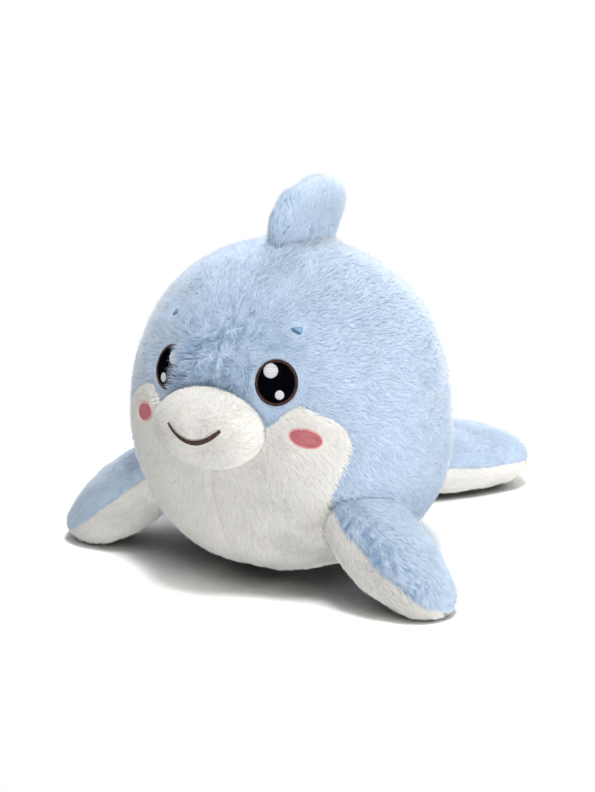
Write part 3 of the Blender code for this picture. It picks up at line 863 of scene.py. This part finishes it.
# Where the fin's side is pinched in by its sewing, the ends of the creases that run from there, where
# the filling rounds out the fin's edge, and where a stitch pulls in the edge of the tail
FIN_PINCH = (0.0140, 0.0080, 0.2420)
FIN_CREASES = ((0.0130, -0.0080, 0.2510), (0.0150, 0.0060, 0.2560), (0.0150, 0.0340, 0.2400))
FIN_FULL_EDGES = ((0, -0.0002, 0.2740), (0, 0.0812, 0.2529))
TAIL_NICK = (0.0614, 0.1964, 0.0313)


def fin_creases(points):
    creases = sum(along_line(points, FIN_PINCH, end, 0.0012) for end in FIN_CREASES)
    return np.minimum(creases, 1)


def fin_dents(points):
    full = sum(at_point(points, edge, 0.014) for edge in FIN_FULL_EDGES)
    return 0.0036 * at_point(points, FIN_PINCH, 0.004) + 0.0012 * fin_creases(points) - 0.0028 * full


def fin_shade(roots):
    """Painted shade: deeper tones in the pinch and its creases, and dark flecks where the pile parts along
    the leading edge.
    """
    edge = np.clip(-roots[:, 1] / 0.012 - 0.4 + (roots[:, 2] - 0.25) / 0.02, 0, 1)
    flecks = edge * np.clip(1.6 * waves(roots, 0.0028, 75) - 0.5, 0, 0.8)
    return 0.4 * fin_creases(roots) + 0.9 * at_point(roots, FIN_PINCH, 0.0036) + flecks


def tail_dents(points):
    return 0.0030 * at_point(points, TAIL_NICK, 0.0045)


# Painted shade in the dent where a stitch pulls in the tail's edge: the tufts there run deeper.
def tail_shade(roots):
    return 0.8 * at_point(roots, TAIL_NICK, 0.0028)


def make_limbs():
    """The fin, the flippers and the tail. Returns tests for points inside them, and their feet's points."""
    form, holds = fin_form()
    limbs = [holds]
    halves = [(f"fin_{side}", BLUE, 5700, fin_shade) for side, _ in SIDES]
    nap = backwards((0, 0.5, 1.0))
    feet = [
        limb(halves, form, nap, length=0.0046, fill=0.9, seed=100, lean=15.0, dents=fin_dents, swirl=16.0)
    ]

    for (side, sign), seed in zip(SIDES, (200, 300)):
        form, holds, axis, middle = flipper_form(side, sign)
        limbs.append(holds)
        halves = (
            (f"{side}_flipper_top", BLUE, 9900, front_shade),
            (f"{side}_flipper_bottom", WHITE, 7200, None),
        )
        nap = backwards(axis + np.array([0, 0, -0.25]), 0.5, middle)
        feet.append(limb(halves, form, nap, length=0.0060, fill=0.85, seed=seed, lean=22.0))

    form, holds, middle = tail_form()
    limbs.append(holds)
    halves = (("tail_top", BLUE, 12800, tail_shade), ("tail_bottom", WHITE, 10200, tail_shade))
    nap = backwards((0, 1.0, -0.1), 0.6, middle)
    feet.append(
        limb(halves, form, nap, length=0.0042, fill=0.85, seed=400, lean=17.0, dents=tail_dents, swirl=20.0)
    )
    return limbs, np.concatenate(feet)


def muzzle_surface(across, up, lift=0.0):
    """The point at a lift over the muzzle's outer surface, across and up from its middle."""
    share = np.hypot(across / MUZZLE_HALF_WIDTH, up / MUZZLE_HALF_HEIGHT)
    height = (1 - np.minimum(share, 1) ** 2.4) ** 0.62
    return from_place((0, MUZZLE_ELEVATION), across, up, MUZZLE_DEPTH * height + lift)


# The smile: its reach to each side, its place, its drop and curl, and its stitches' lengths along it
MOUTH_HALF_WIDTH = 0.0165
MOUTH_SHIFT = 0.0020
MOUTH_DROP = 0.0052
MOUTH_CURL = 0.0085
MOUTH_WIDTHS = ((-1, 0.0014), (0.2, 0.0027), (0.85, 0.0027), (1, 0.0022))


def mouth_line(part):
    """The middle of the smile, -1 to 1 from the dolphin's right to its left: across, up and width."""
    across = MOUTH_SHIFT + MOUTH_HALF_WIDTH * part
    up = MOUTH_CURL * part**2 - MOUTH_DROP
    return across, up, np.interp(part, *zip(*MOUTH_WIDTHS))


def near_mouth(points):
    """How far points are from the smile, in shares of half its stitches' length, cut off at 3."""
    across, up, width = mouth_line(np.linspace(-1, 1, 41))
    line = muzzle_surface(across, up, -PILE_BED)
    gaps = np.linalg.norm(points[:, None] - line, axis=2) / (width / 2 + 0.0003)
    return gaps.min(1).clip(0, 3)


def make_muzzle():
    share, turn = rounded_patch(MUZZLE_RINGS, MUZZLE_COLUMNS)
    points = muzzle_surface(
        share * np.cos(turn) * MUZZLE_HALF_WIDTH, share * np.sin(turn) * MUZZLE_HALF_HEIGHT
    )
    faces = facing_out(points, patch_faces(MUZZLE_RINGS, MUZZLE_COLUMNS, True), CENTRE)
    normals = normals_of(points, faces)
    points = points - normals * MUZZLE_BED
    points += normals * (0.0004 * waves(points, 0.03, 21))[:, None]
    cover("muzzle_cover_bed", points, faces, WHITE, "muzzle_cover", CENTRE)

    outward, _, up_axis = axes_at((0, MUZZLE_ELEVATION))
    middle = on_body(outward, relieved=False)

    def keep(roots):
        shorter = 1 - 4.0 * np.abs((roots - middle) @ up_axis)
        on_mouth = near_mouth(roots)
        return np.where(on_mouth < 1, 0, 1) * shorter * np.clip((on_mouth - 1) * 0.35 + 0.3, 0.3, 1)

    nap = backwards((0, 0.3, 0), 1.0, muzzle_surface(MOUTH_SHIFT, -0.0035))
    pile(
        "muzzle_pile", (points, faces, normals), 9600, nap, 0.0042, WHITE, keep, 500, 21.0,
        width=0.0007, swirl=26.0,
    )


# The cross-section of a thread, as shares of its width and height, and the steps along each stitch
THREAD_PROFILE = np.array([[-0.5, 0.0], [-0.32, 0.72], [0.0, 1.0], [0.32, 0.72], [0.5, 0.0]])
THREAD_OVERLAP = 1.12
STITCH_STEPS = 7
BACKING_COLUMNS = 64
BACKING_RINGS = 7


def thread_object(name, points, faces, thread, tone, places=None):
    """A piece made of thread."""
    made = mesh_object(name, points, faces, THREAD_FINISH[thread], None, {"tone": tone}, places)
    return made


def stitches(name, surface, starts, ends, width, rise, low, thread, seed, node=None):
    """A row of stitches laid on a surface, each an arched thread from a start to an end, both (across, up).

    width is the thread's, rise how high its middle stands and low the height of the cloth under it.
    """
    random = np.random.default_rng(seed)
    count, rows, columns = len(starts), STITCH_STEPS, len(THREAD_PROFILE)
    part = np.linspace(0, 1, rows)[:, None]
    run = ends - starts
    line = starts[:, None] + run[:, None] * part
    side = unit(np.stack([-run[:, 1], run[:, 0]], 1))
    full = np.sqrt(np.sin(math.pi * (0.06 + 0.88 * part)))
    offset = width * THREAD_OVERLAP * full * THREAD_PROFILE[:, 0]
    flat = line[:, :, None] + side[:, None, None] * offset[..., None]
    arch = full * (0.35 + 0.65 * THREAD_PROFILE[:, 1])
    heights = low + rise * arch * random.uniform(0.85, 1.15, (count, 1, 1))
    points = surface(flat[..., 0], flat[..., 1], heights)
    index = np.arange(rows * columns).reshape(rows, columns)
    following = np.roll(index, -1, 1)
    quads = np.stack([index[:-1], index[1:], following[1:], following[:-1]], -1).reshape(-1, 4)
    last = index[-1]
    caps = [[0, k + 1, k] for k in range(1, columns - 1)]
    caps += [[last[0], last[k], last[k + 1]] for k in range(1, columns - 1)]
    one = np.concatenate([quads[:, [0, 1, 2]], quads[:, [0, 2, 3]], caps])
    faces = (rows * columns * np.arange(count)[:, None, None] + one).reshape(-1, 3)
    corner, size = cells(count)
    local = np.stack(np.meshgrid(np.linspace(0.1, 0.9, columns), np.linspace(0.1, 0.9, rows)), -1)
    places = (corner[:, None, None] + size * local).reshape(-1, 2)
    tone = np.repeat(random.uniform(0, 1, count), rows * columns)
    made = thread_object(name, points.reshape(-1, 3), faces, thread, tone, places)
    if node:
        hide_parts(node)


def backing(name, surface, half_size, low, high, thread, tilt=0.0, offset=(0.0, 0.0)):
    """A low dome of closely packed thread under the stitches of an oval."""
    share, turn = rounded_patch(BACKING_RINGS, BACKING_COLUMNS)
    across, up = share * half_size[0] * np.cos(turn), share * half_size[1] * np.sin(turn)
    across, up = tilted(across, up, tilt, offset)
    top = surface(across, up, low + (high - low) * np.maximum(1 - share**2, 0) ** 0.3)
    bottom = surface(across, up, low - 0.0006)
    points = np.concatenate([top, bottom])
    faces = shell(patch_faces(BACKING_RINGS, BACKING_COLUMNS, True), len(top))
    faces = facing_out(points, faces, points.mean(0))
    thread_object(name, points, faces, thread, np.full(len(points), 0.35))


def tilted(across, up, tilt, offset=(0.0, 0.0)):
    """Places on a surface, turned by an angle in degrees and then moved."""
    tilt = math.radians(tilt)
    return (
        offset[0] + across * math.cos(tilt) - up * math.sin(tilt),
        offset[1] + across * math.sin(tilt) + up * math.cos(tilt),
    )


def turned(rows, tilt):
    """The starts and the ends of stitches, turned on their surface."""
    return np.array([np.stack(tilted(*ends.T, tilt), 1) for ends in rows])


def oval_rows(half_size, pitch, reach, seed, inset=0.0):
    """Brick-laid rows of stitches that fill an oval along its first axis: starts and ends."""
    random = np.random.default_rng(seed)
    half_length, half_height = half_size[0] - inset, half_size[1] - inset
    starts, ends = [], []
    rows = int(2 * half_height / pitch)
    for row in range(rows):
        up = (row + 0.5) * 2 * half_height / rows - half_height
        half = half_length * math.sqrt(max(1 - (up / half_height) ** 2, 0))
        first = -half - reach * ((row % 3) / 3)
        while first < half:
            last = first + reach
            start, end = max(first, -half), min(last, half)
            if end - start > pitch:
                wobble = random.normal(0, pitch * 0.06, 2)
                starts.append((start, up + wobble[0]))
                ends.append((end, up + wobble[1]))
            first = last
    return np.array(starts), np.array(ends)


def ring_rows(half_size, width, pitch, slant):
    """Stitches across the border of an oval, from its inner to its outer line: starts and ends."""
    count = int(math.pi * (half_size[0] + half_size[1]) / pitch)
    turns = 2 * math.pi * np.arange(count) / count

    def line(inset, shift):
        angle = turns + shift
        return np.stack([(half_size[0] - inset) * np.cos(angle), (half_size[1] - inset) * np.sin(angle)], 1)

    return line(width, -slant), line(0.0, slant)


# How high each field's cloth lies against the body's surface, and how its threads are laid
EYE_LOW = -0.0016
EYE_INNER_SINK = {"left": 0.0003, "right": 0.0018}
EYE_CROWN = 0.0010
RIM_WIDTH = 0.0022
THREAD_PITCH = 0.00046
BACKING_RISE = 0.0003
HIGHLIGHTS = (
    ("large", (-0.0038, 0.0079), 0.0050),
    ("small", (0.0026, -0.0083), 0.0031),
)
CHEEK_LOW = -0.0014
CHEEK_RIM_WIDTH = 0.0011
BROW_LOW = -0.0036
BROW_ROWS = 10
BROW_FOLD_ROWS = 3
BROW_STARTS = ((-0.0056, -0.0022), (0.0014, 0.0036))
BROW_ENDS = ((0.0058, -0.0026), (0.0036, 0.0032))


def make_eye(side, sign):
    place = mirrored(EYE_PLACE[side], sign)

    def surface(across, up, height):
        share = np.hypot(across / EYE_HALF_SIZE[0], up / EYE_HALF_SIZE[1])
        crown = EYE_CROWN * np.maximum(1 - share**2, 0)
        inner = np.maximum(-sign * across / EYE_HALF_SIZE[0], 0)
        return from_place(place, across, up, height + crown - EYE_INNER_SINK[side] * inner**2)

    low = EYE_LOW
    backing(f"{side}_eye_backing", surface, EYE_HALF_SIZE, low, low + BACKING_RISE, "black_thread")
    upright = [size - 0.8 * RIM_WIDTH for size in reversed(EYE_HALF_SIZE)]
    starts, ends = oval_rows(upright, THREAD_PITCH, 0.0075, 31)
    stitches(
        f"{side}_eye_fill", surface, starts[:, ::-1], ends[:, ::-1], THREAD_PITCH, 0.0005, low,
        "black_thread", 32, f"{side}_eye_black",
    )
    starts, ends = ring_rows(EYE_HALF_SIZE, RIM_WIDTH, THREAD_PITCH * 1.05, 0.02)
    stitches(
        f"{side}_eye_border", surface, starts, ends, THREAD_PITCH * 1.1, 0.0013, low,
        "brown_thread", 33, f"{side}_eye_rim",
    )
    for size, (across, up), radius in HIGHLIGHTS:
        name = f"{side}_eye_{size}"
        offset = (sign * across, up)
        backing(
            f"{name}_light_backing", surface, (radius, radius), low + BACKING_RISE, low + 0.0008,
            "white_thread", offset=offset,
        )
        starts, ends = oval_rows((radius, radius), THREAD_PITCH * 0.9, 0.02, 34)
        stitches(
            f"{name}_light", surface, starts + offset, ends + offset, THREAD_PITCH * 0.95, 0.0006,
            low + 0.0005, "white_thread", 35, f"{name}_highlight",
        )


def make_cheek(side, sign):
    surface = partial(from_place, mirrored(CHEEK_PLACE, sign))
    low, tilt = CHEEK_LOW, sign * CHEEK_TILT
    backing(
        f"{side}_cheek_backing", surface, CHEEK_HALF_SIZE, low, low + BACKING_RISE, "rose_thread", tilt
    )
    rows = turned(oval_rows(CHEEK_HALF_SIZE, THREAD_PITCH, 0.0085, 41, inset=0.0006), tilt)
    stitches(
        f"{side}_cheek_fill", surface, *rows, THREAD_PITCH, 0.0006, low, "rose_thread", 42, f"{side}_cheek"
    )
    rows = turned(ring_rows(CHEEK_HALF_SIZE, CHEEK_RIM_WIDTH, THREAD_PITCH * 1.3, 0.09), tilt)
    stitches(f"{side}_cheek_border", surface, *rows, THREAD_PITCH, 0.0007, low, "rose_edge", 43)


def make_brow(side, sign):
    """The few stitches of a brow tuck, which narrow upwards from its fold. The fold's dark thread is
    painted shade, and the stitches' teal is partly their thread and partly painted shade of the tuck's
    dimple.
    """
    surface = partial(from_place, mirrored(BROW_PLACE[side], sign))
    rows = [np.linspace(*line, BROW_ROWS) * (sign, 1) for line in (BROW_STARTS, BROW_ENDS)]
    rows = turned(rows, sign * BROW_TILT)
    for name, part, thread, node in (
        ("fold", rows[:, :BROW_FOLD_ROWS], "tuck_edge", None),
        ("stitches", rows[:, BROW_FOLD_ROWS:], "tuck_thread", f"{side}_brow_tuck"),
    ):
        stitches(f"{side}_brow_{name}", surface, *part, 0.0008, 0.0005, BROW_LOW, thread, 44, node)


def make_mouth():
    across, up, width = mouth_line(np.linspace(-1, 1, 84))
    run = unit(np.stack([np.gradient(across), np.gradient(up)], 1))
    side = np.stack([-run[:, 1], run[:, 0]], 1) * width[:, None] / 2 + run * 0.0002
    middle = np.stack([across, up], 1)
    stitches(
        "mouth_stitches", muzzle_surface, middle - side, middle + side, THREAD_PITCH * 1.1, 0.0011,
        0.0010 - MUZZLE_BED, "brown_thread", 45, "mouth_stitch",
    )


# The body's pile: where it whorls, where it is brushed out over the right eye, and its middle parting
WHORL = direction(1, 29)
COMBED_PLACE = (-13.8, (17.0, 23.5, 30.0))
PARTING = 0.25


def combed(roots):
    """1 at the right eye's inner side, where the pile is brushed out over it, falling to 0 round it."""
    toward = unit(roots - CENTRE)
    return np.clip(sum(near(toward, (COMBED_PLACE[0], up), 0.0085) for up in COMBED_PLACE[1]), 0, 1)


def body_nap(points):
    """The pile runs away from a whorl between the eyes, over the head and back, and down over the belly."""
    toward = unit(points - CENTRE)
    flow = toward - WHORL * 1.15 + np.array([0, 0.12, -0.12])
    tousled = 0.4 * near(toward, (0, 30), 0.036)
    flow += tousled[:, None] * np.stack([waves(points, 0.0095, seed) for seed in (74, 75, 76)], 1)
    return flow + combed(points)[:, None] * np.array([-2.2, 0, 0.2])


def face_shade(roots):
    """Painted shade in the tousled pile between the eyes: its tufts darken there in patches."""
    middle = near(unit(roots - CENTRE), (3, 27), 0.042)
    return middle * (0.55 + 0.5 * np.clip(waves(roots, 0.011, 73), -1, 1))


def belly_shade(roots):
    """Painted shade along the belly's middle seam: a fine line of darker tufts where the pile parts over
    it.
    """
    return 0.45 * fading(roots[:, 0], 0.0010)


def oval_share(toward, place, half_size, tilt):
    """How far out of an oval on the body directions are, 1 on its line and 9 on the body's other side."""
    outward, across_axis, up_axis = axes_at(place)
    facing = toward @ outward
    flat = toward / np.maximum(facing, 0.2)[:, None] * body_radius(outward)
    across, up = tilted(flat @ across_axis, flat @ up_axis, -tilt)
    return np.where(facing > 0.5, np.hypot(across / half_size[0], up / half_size[1]), 9)


def clear_of_features(roots):
    """A length share for each root on the body: 0 under the face's stitching, the muzzle and the floor."""
    shares = 1 + 0.95 * combed(roots)
    toward = unit(roots - CENTRE)
    for side, sign in SIDES:
        brushed = combed(roots) if side == "right" else 0
        for place, half_size, tilt in (
            (EYE_PLACE[side], EYE_HALF_SIZE, 0.0),
            (CHEEK_PLACE, CHEEK_HALF_SIZE, CHEEK_TILT),
        ):
            share = oval_share(toward, mirrored(place, sign), half_size, sign * tilt)
            shares *= np.where(share < 1.04, 0, np.clip(0.3 + (share - 1.04) * 1.6 + brushed, 0, 1))
        tuck = near(toward, mirrored(BROW_PLACE[side], sign), 0.0085)
        shares *= np.where(tuck > 0.66, 0, 1 - 0.85 * tuck)
    shares *= 1 - PARTING * fading(roots[:, 0], 0.0013)
    outward, across_axis, up_axis = axes_at((0, MUZZLE_ELEVATION))
    flat = toward * body_radius(toward)[:, None]
    share = np.hypot(flat @ across_axis / MUZZLE_HALF_WIDTH, flat @ up_axis / MUZZLE_HALF_HEIGHT)
    shares *= (share >= 0.9) | (toward @ outward <= 0)
    shares *= roots[:, 2] > PILE_BED + 0.0006
    return shares


def make_body(limbs, feet):
    """The belly cover and the two back covers, with their pile, which stands up round the limbs' feet."""
    feet_tree = tree_of(feet)
    bearings = 2 * math.pi * np.arange(BED_COLUMNS) / BED_COLUMNS
    seam = read_smoothly(bearings, belly_knots())

    def keep(roots):
        shares = clear_of_features(roots)
        for holds in limbs:
            shares[holds(roots + unit(roots - CENTRE) * 0.003)] = 0
        return shares

    def stand(roots):
        gaps = np.array([feet_tree.find(root)[2] for root in roots])
        whorl = fading(np.linalg.norm(unit(roots - CENTRE) - WHORL, axis=1), 0.22)
        return 38 * np.clip(1.35 - gaps / 0.006, 0, 1) + 17 * combed(roots) + 9 * whorl

    def bed(rings, pole_angle):
        """The pole and the rings of a bed, from its pole out to the belly seam, where it is drawn in."""
        shares = np.linspace(0, 1, rings + 1)[1:, None]
        drawn_in = SEAM_DEPTH * fading((1 - shares) * seam * BODY_SIZE[0] / 2, SEAM_WIDTH)
        angles = pole_angle + (seam - pole_angle) * shares
        pole = on_body(belly_direction(np.zeros(1), np.full(1, pole_angle)), -PILE_BED)
        return pole, on_body(belly_direction(np.tile(bearings, (rings, 1)), angles), -PILE_BED - drawn_in)

    def make_part(name, pole, rings, closed, plush, count, length, seed, shade):
        points = np.concatenate([pole, rings.reshape(-1, 3)])
        faces = facing_out(points, patch_faces(*rings.shape[:2], closed), CENTRE)
        cover(f"{name}_cover", points, faces, plush, f"{name}_panel", CENTRE)
        pile(
            f"{name}_pile", (points, faces, normals_of(points, faces)), count, body_nap, length, plush,
            keep, seed, 19.0, stand=stand, shade=shade,
        )

    pole, rings = bed(BELLY_RINGS, 0.0)
    make_part("belly", pole, rings, True, WHITE, 39800, 0.0058, 600, belly_shade)
    pole, rings = bed(BACK_RINGS, math.pi)
    middle = BED_COLUMNS // 2
    left, right = rings[:, : middle + 1], np.concatenate([rings[:, middle:], rings[:, :1]], 1)
    make_part("back_left", pole, left, False, BLUE, 45200, 0.0060, 700, face_shade)
    make_part("back_right", pole, right, False, BLUE, 45200, 0.0060, 800, face_shade)


VIEW_AZIMUTH = 30.167
VIEW_ELEVATION = 16.033
VIEW_TARGET = Vector((0.0618, -0.0962, 0.1564))
VIEW_DISTANCE = 1.6
LENS = 110.25

# Degrees, metres and watts. The overhead lamp lights the floor too and makes the shadows, and the others
# light the toy alone. Each stands at its distance from the middle of the body and faces it.
Lamp = namedtuple("Lamp", "name azimuth elevation distance size power floor")
LAMPS = (
    Lamp("overhead", 40.0, 66.0, 1.6, 0.42, 14.5, True),
    Lamp("right", 103.0, 0.0, 1.6, 1.1, 25.5, False),
    Lamp("brow", -50.0, 63.0, 1.7, 1.0, 14.5, False),
    Lamp("front", 20.0, -17.0, 1.7, 1.2, 18.5, False),
    Lamp("left", -85.0, 0.0, 1.7, 1.1, 1.0, False),
    Lamp("rear", 200.0, 34.0, 1.7, 1.1, 25.5, False),
)
WORLD_STRENGTH = 0.18
FLOOR_HALF_SIZE = 12.0
FLOOR_GREY = 0.8
FLOOR_BRIGHTNESS = 2.75
FLOOR_FADE = (0.22, 0.42)
# Within this reach of the toy the floor's shown colour darkens by ambient occlusion: painted shadow
SHADOW_REACH = 0.065
SHADOW_DEPTH = 0.035
SHADOW_OPENNESS = (0.15, 0.7)


def aim(thing, target):
    thing.rotation_euler = (Vector(target) - thing.location).to_track_quat("-Z", "Y").to_euler()


def make_camera():
    camera = bpy.data.objects.new("camera", bpy.data.cameras.new("camera"))
    camera.data.lens = LENS
    camera.location = VIEW_TARGET + Vector(direction(VIEW_AZIMUTH, VIEW_ELEVATION)) * VIEW_DISTANCE
    aim(camera, VIEW_TARGET)
    bpy.context.scene.collection.objects.link(camera)
    bpy.context.scene.camera = camera


def make_lights():
    toy = bpy.data.collections.new("toy")
    bpy.context.scene.collection.children.link(toy)
    for thing in list(bpy.data.objects):
        if thing.type == "MESH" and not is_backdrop(thing):
            toy.objects.link(thing)
    middle = Vector((0, 0, CENTRE[2]))
    for lamp in LAMPS:
        data = bpy.data.lights.new(lamp.name, "AREA")
        data.shape = "DISK"
        data.size = lamp.size
        data.energy = lamp.power
        # Rays that set out from the toy would stop at the floor on their way to a lamp that passes it by
        data.cycles.use_multiple_importance_sampling = lamp.floor
        made = bpy.data.objects.new(lamp.name, data)
        made.location = middle + Vector(direction(lamp.azimuth, lamp.elevation)) * lamp.distance
        aim(made, middle)
        bpy.context.scene.collection.objects.link(made)
        if not lamp.floor:
            made.light_linking.receiver_collection = toy
            made.light_linking.blocker_collection = toy


def seen_share(tree):
    """1 where a ray goes to the camera directly, by reflection or through glass, else 0."""
    path = tree.nodes.new("ShaderNodeLightPath")
    first = tree.nodes.new("ShaderNodeMath")
    second = tree.nodes.new("ShaderNodeMath")
    for node in (first, second):
        node.operation = "MAXIMUM"
    tree.links.new(path.outputs["Is Camera Ray"], first.inputs[0])
    tree.links.new(path.outputs["Is Glossy Ray"], first.inputs[1])
    tree.links.new(first.outputs[0], second.inputs[0])
    tree.links.new(path.outputs["Is Transmission Ray"], second.inputs[1])
    return second.outputs[0]


def blended(tree, share, first, second):
    made = tree.nodes.new("ShaderNodeMixShader")
    tree.links.new(share, made.inputs[0])
    tree.links.new(first, made.inputs[1])
    tree.links.new(second, made.inputs[2])
    return made.outputs[0]


def make_world():
    world = bpy.data.worlds.new("studio")
    bpy.context.scene.world = world
    world.use_nodes = True
    tree = world.node_tree
    lit = tree.nodes["Background"]
    lit.inputs["Color"].default_value = (1, 1, 1, 1)
    lit.inputs["Strength"].default_value = WORLD_STRENGTH
    seen = tree.nodes.new("ShaderNodeBackground")
    seen.inputs["Color"].default_value = (1, 1, 1, 1)
    seen.inputs["Strength"].default_value = 1.0
    both = blended(tree, seen_share(tree), lit.outputs[0], seen.outputs[0])
    tree.links.new(both, tree.nodes["World Output"].inputs["Surface"])


def mapped(tree, value, source, target=(0.0, 1.0), kind="LINEAR"):
    """A value taken from one range to another."""
    made = tree.nodes.new("ShaderNodeMapRange")
    made.interpolation_type = kind
    made.inputs["From Min"].default_value, made.inputs["From Max"].default_value = source
    made.inputs["To Min"].default_value, made.inputs["To Max"].default_value = target
    tree.links.new(value, made.inputs["Value"])
    return made.outputs[0]


def floor_finish():
    """A pale finish that holds the shadows near the toy, deepened there by painted shadow, and is plain
    white further off.
    """
    made = bpy.data.materials.new("floor")
    made.use_nodes = True
    tree = made.node_tree
    tree.nodes.remove(tree.nodes["Principled BSDF"])
    lit = tree.nodes.new("ShaderNodeBsdfDiffuse")
    lit.inputs["Color"].default_value = (FLOOR_GREY, FLOOR_GREY, FLOOR_GREY, 1)
    openness = tree.nodes.new("ShaderNodeAmbientOcclusion")
    openness.inputs["Distance"].default_value = SHADOW_REACH
    brightness = (FLOOR_BRIGHTNESS * SHADOW_DEPTH, FLOOR_BRIGHTNESS)
    shown = tree.nodes.new("ShaderNodeBsdfDiffuse")
    tree.links.new(mapped(tree, openness.outputs["AO"], SHADOW_OPENNESS, brightness), shown.inputs["Color"])
    white = tree.nodes.new("ShaderNodeEmission")
    place = tree.nodes.new("ShaderNodeTexCoord")
    away = tree.nodes.new("ShaderNodeVectorMath")
    away.operation = "LENGTH"
    tree.links.new(place.outputs["Object"], away.inputs[0])
    fade = mapped(tree, away.outputs["Value"], FLOOR_FADE, kind="SMOOTHSTEP")
    seen = blended(tree, fade, shown.outputs[0], white.outputs[0])
    both = blended(tree, seen_share(tree), lit.outputs[0], seen)
    tree.links.new(both, tree.nodes["Material Output"].inputs["Surface"])
    return made


def make_floor():
    half = FLOOR_HALF_SIZE
    corners = [(-half, -half, 0), (half, -half, 0), (half, half, 0), (-half, half, 0)]
    mesh = bpy.data.meshes.new("floor")
    mesh.from_pydata(corners, [], [(0, 1, 2, 3)])
    mesh.materials.append(floor_finish())
    floor = bpy.data.objects.new("floor", mesh)
    bpy.context.scene.collection.objects.link(floor)
    floor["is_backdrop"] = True


def finish_hidden_nodes():
    """The stuffing inside the covers keeps its solids and gets a fibre finish."""
    fibre = stuffing_finish()
    for name, node in frame["nodes"].items():
        if name.endswith("stuffing"):
            node.data.materials.clear()
            node.data.materials.append(fibre)


bpy.context.scene.view_settings.view_transform = "Standard"
make_camera()
make_world()
make_floor()
make_body(*make_limbs())
make_muzzle()
make_mouth()
for side_name, side_sign in SIDES:
    make_eye(side_name, side_sign)
    make_cheek(side_name, side_sign)
    make_brow(side_name, side_sign)
finish_hidden_nodes()
make_lights()
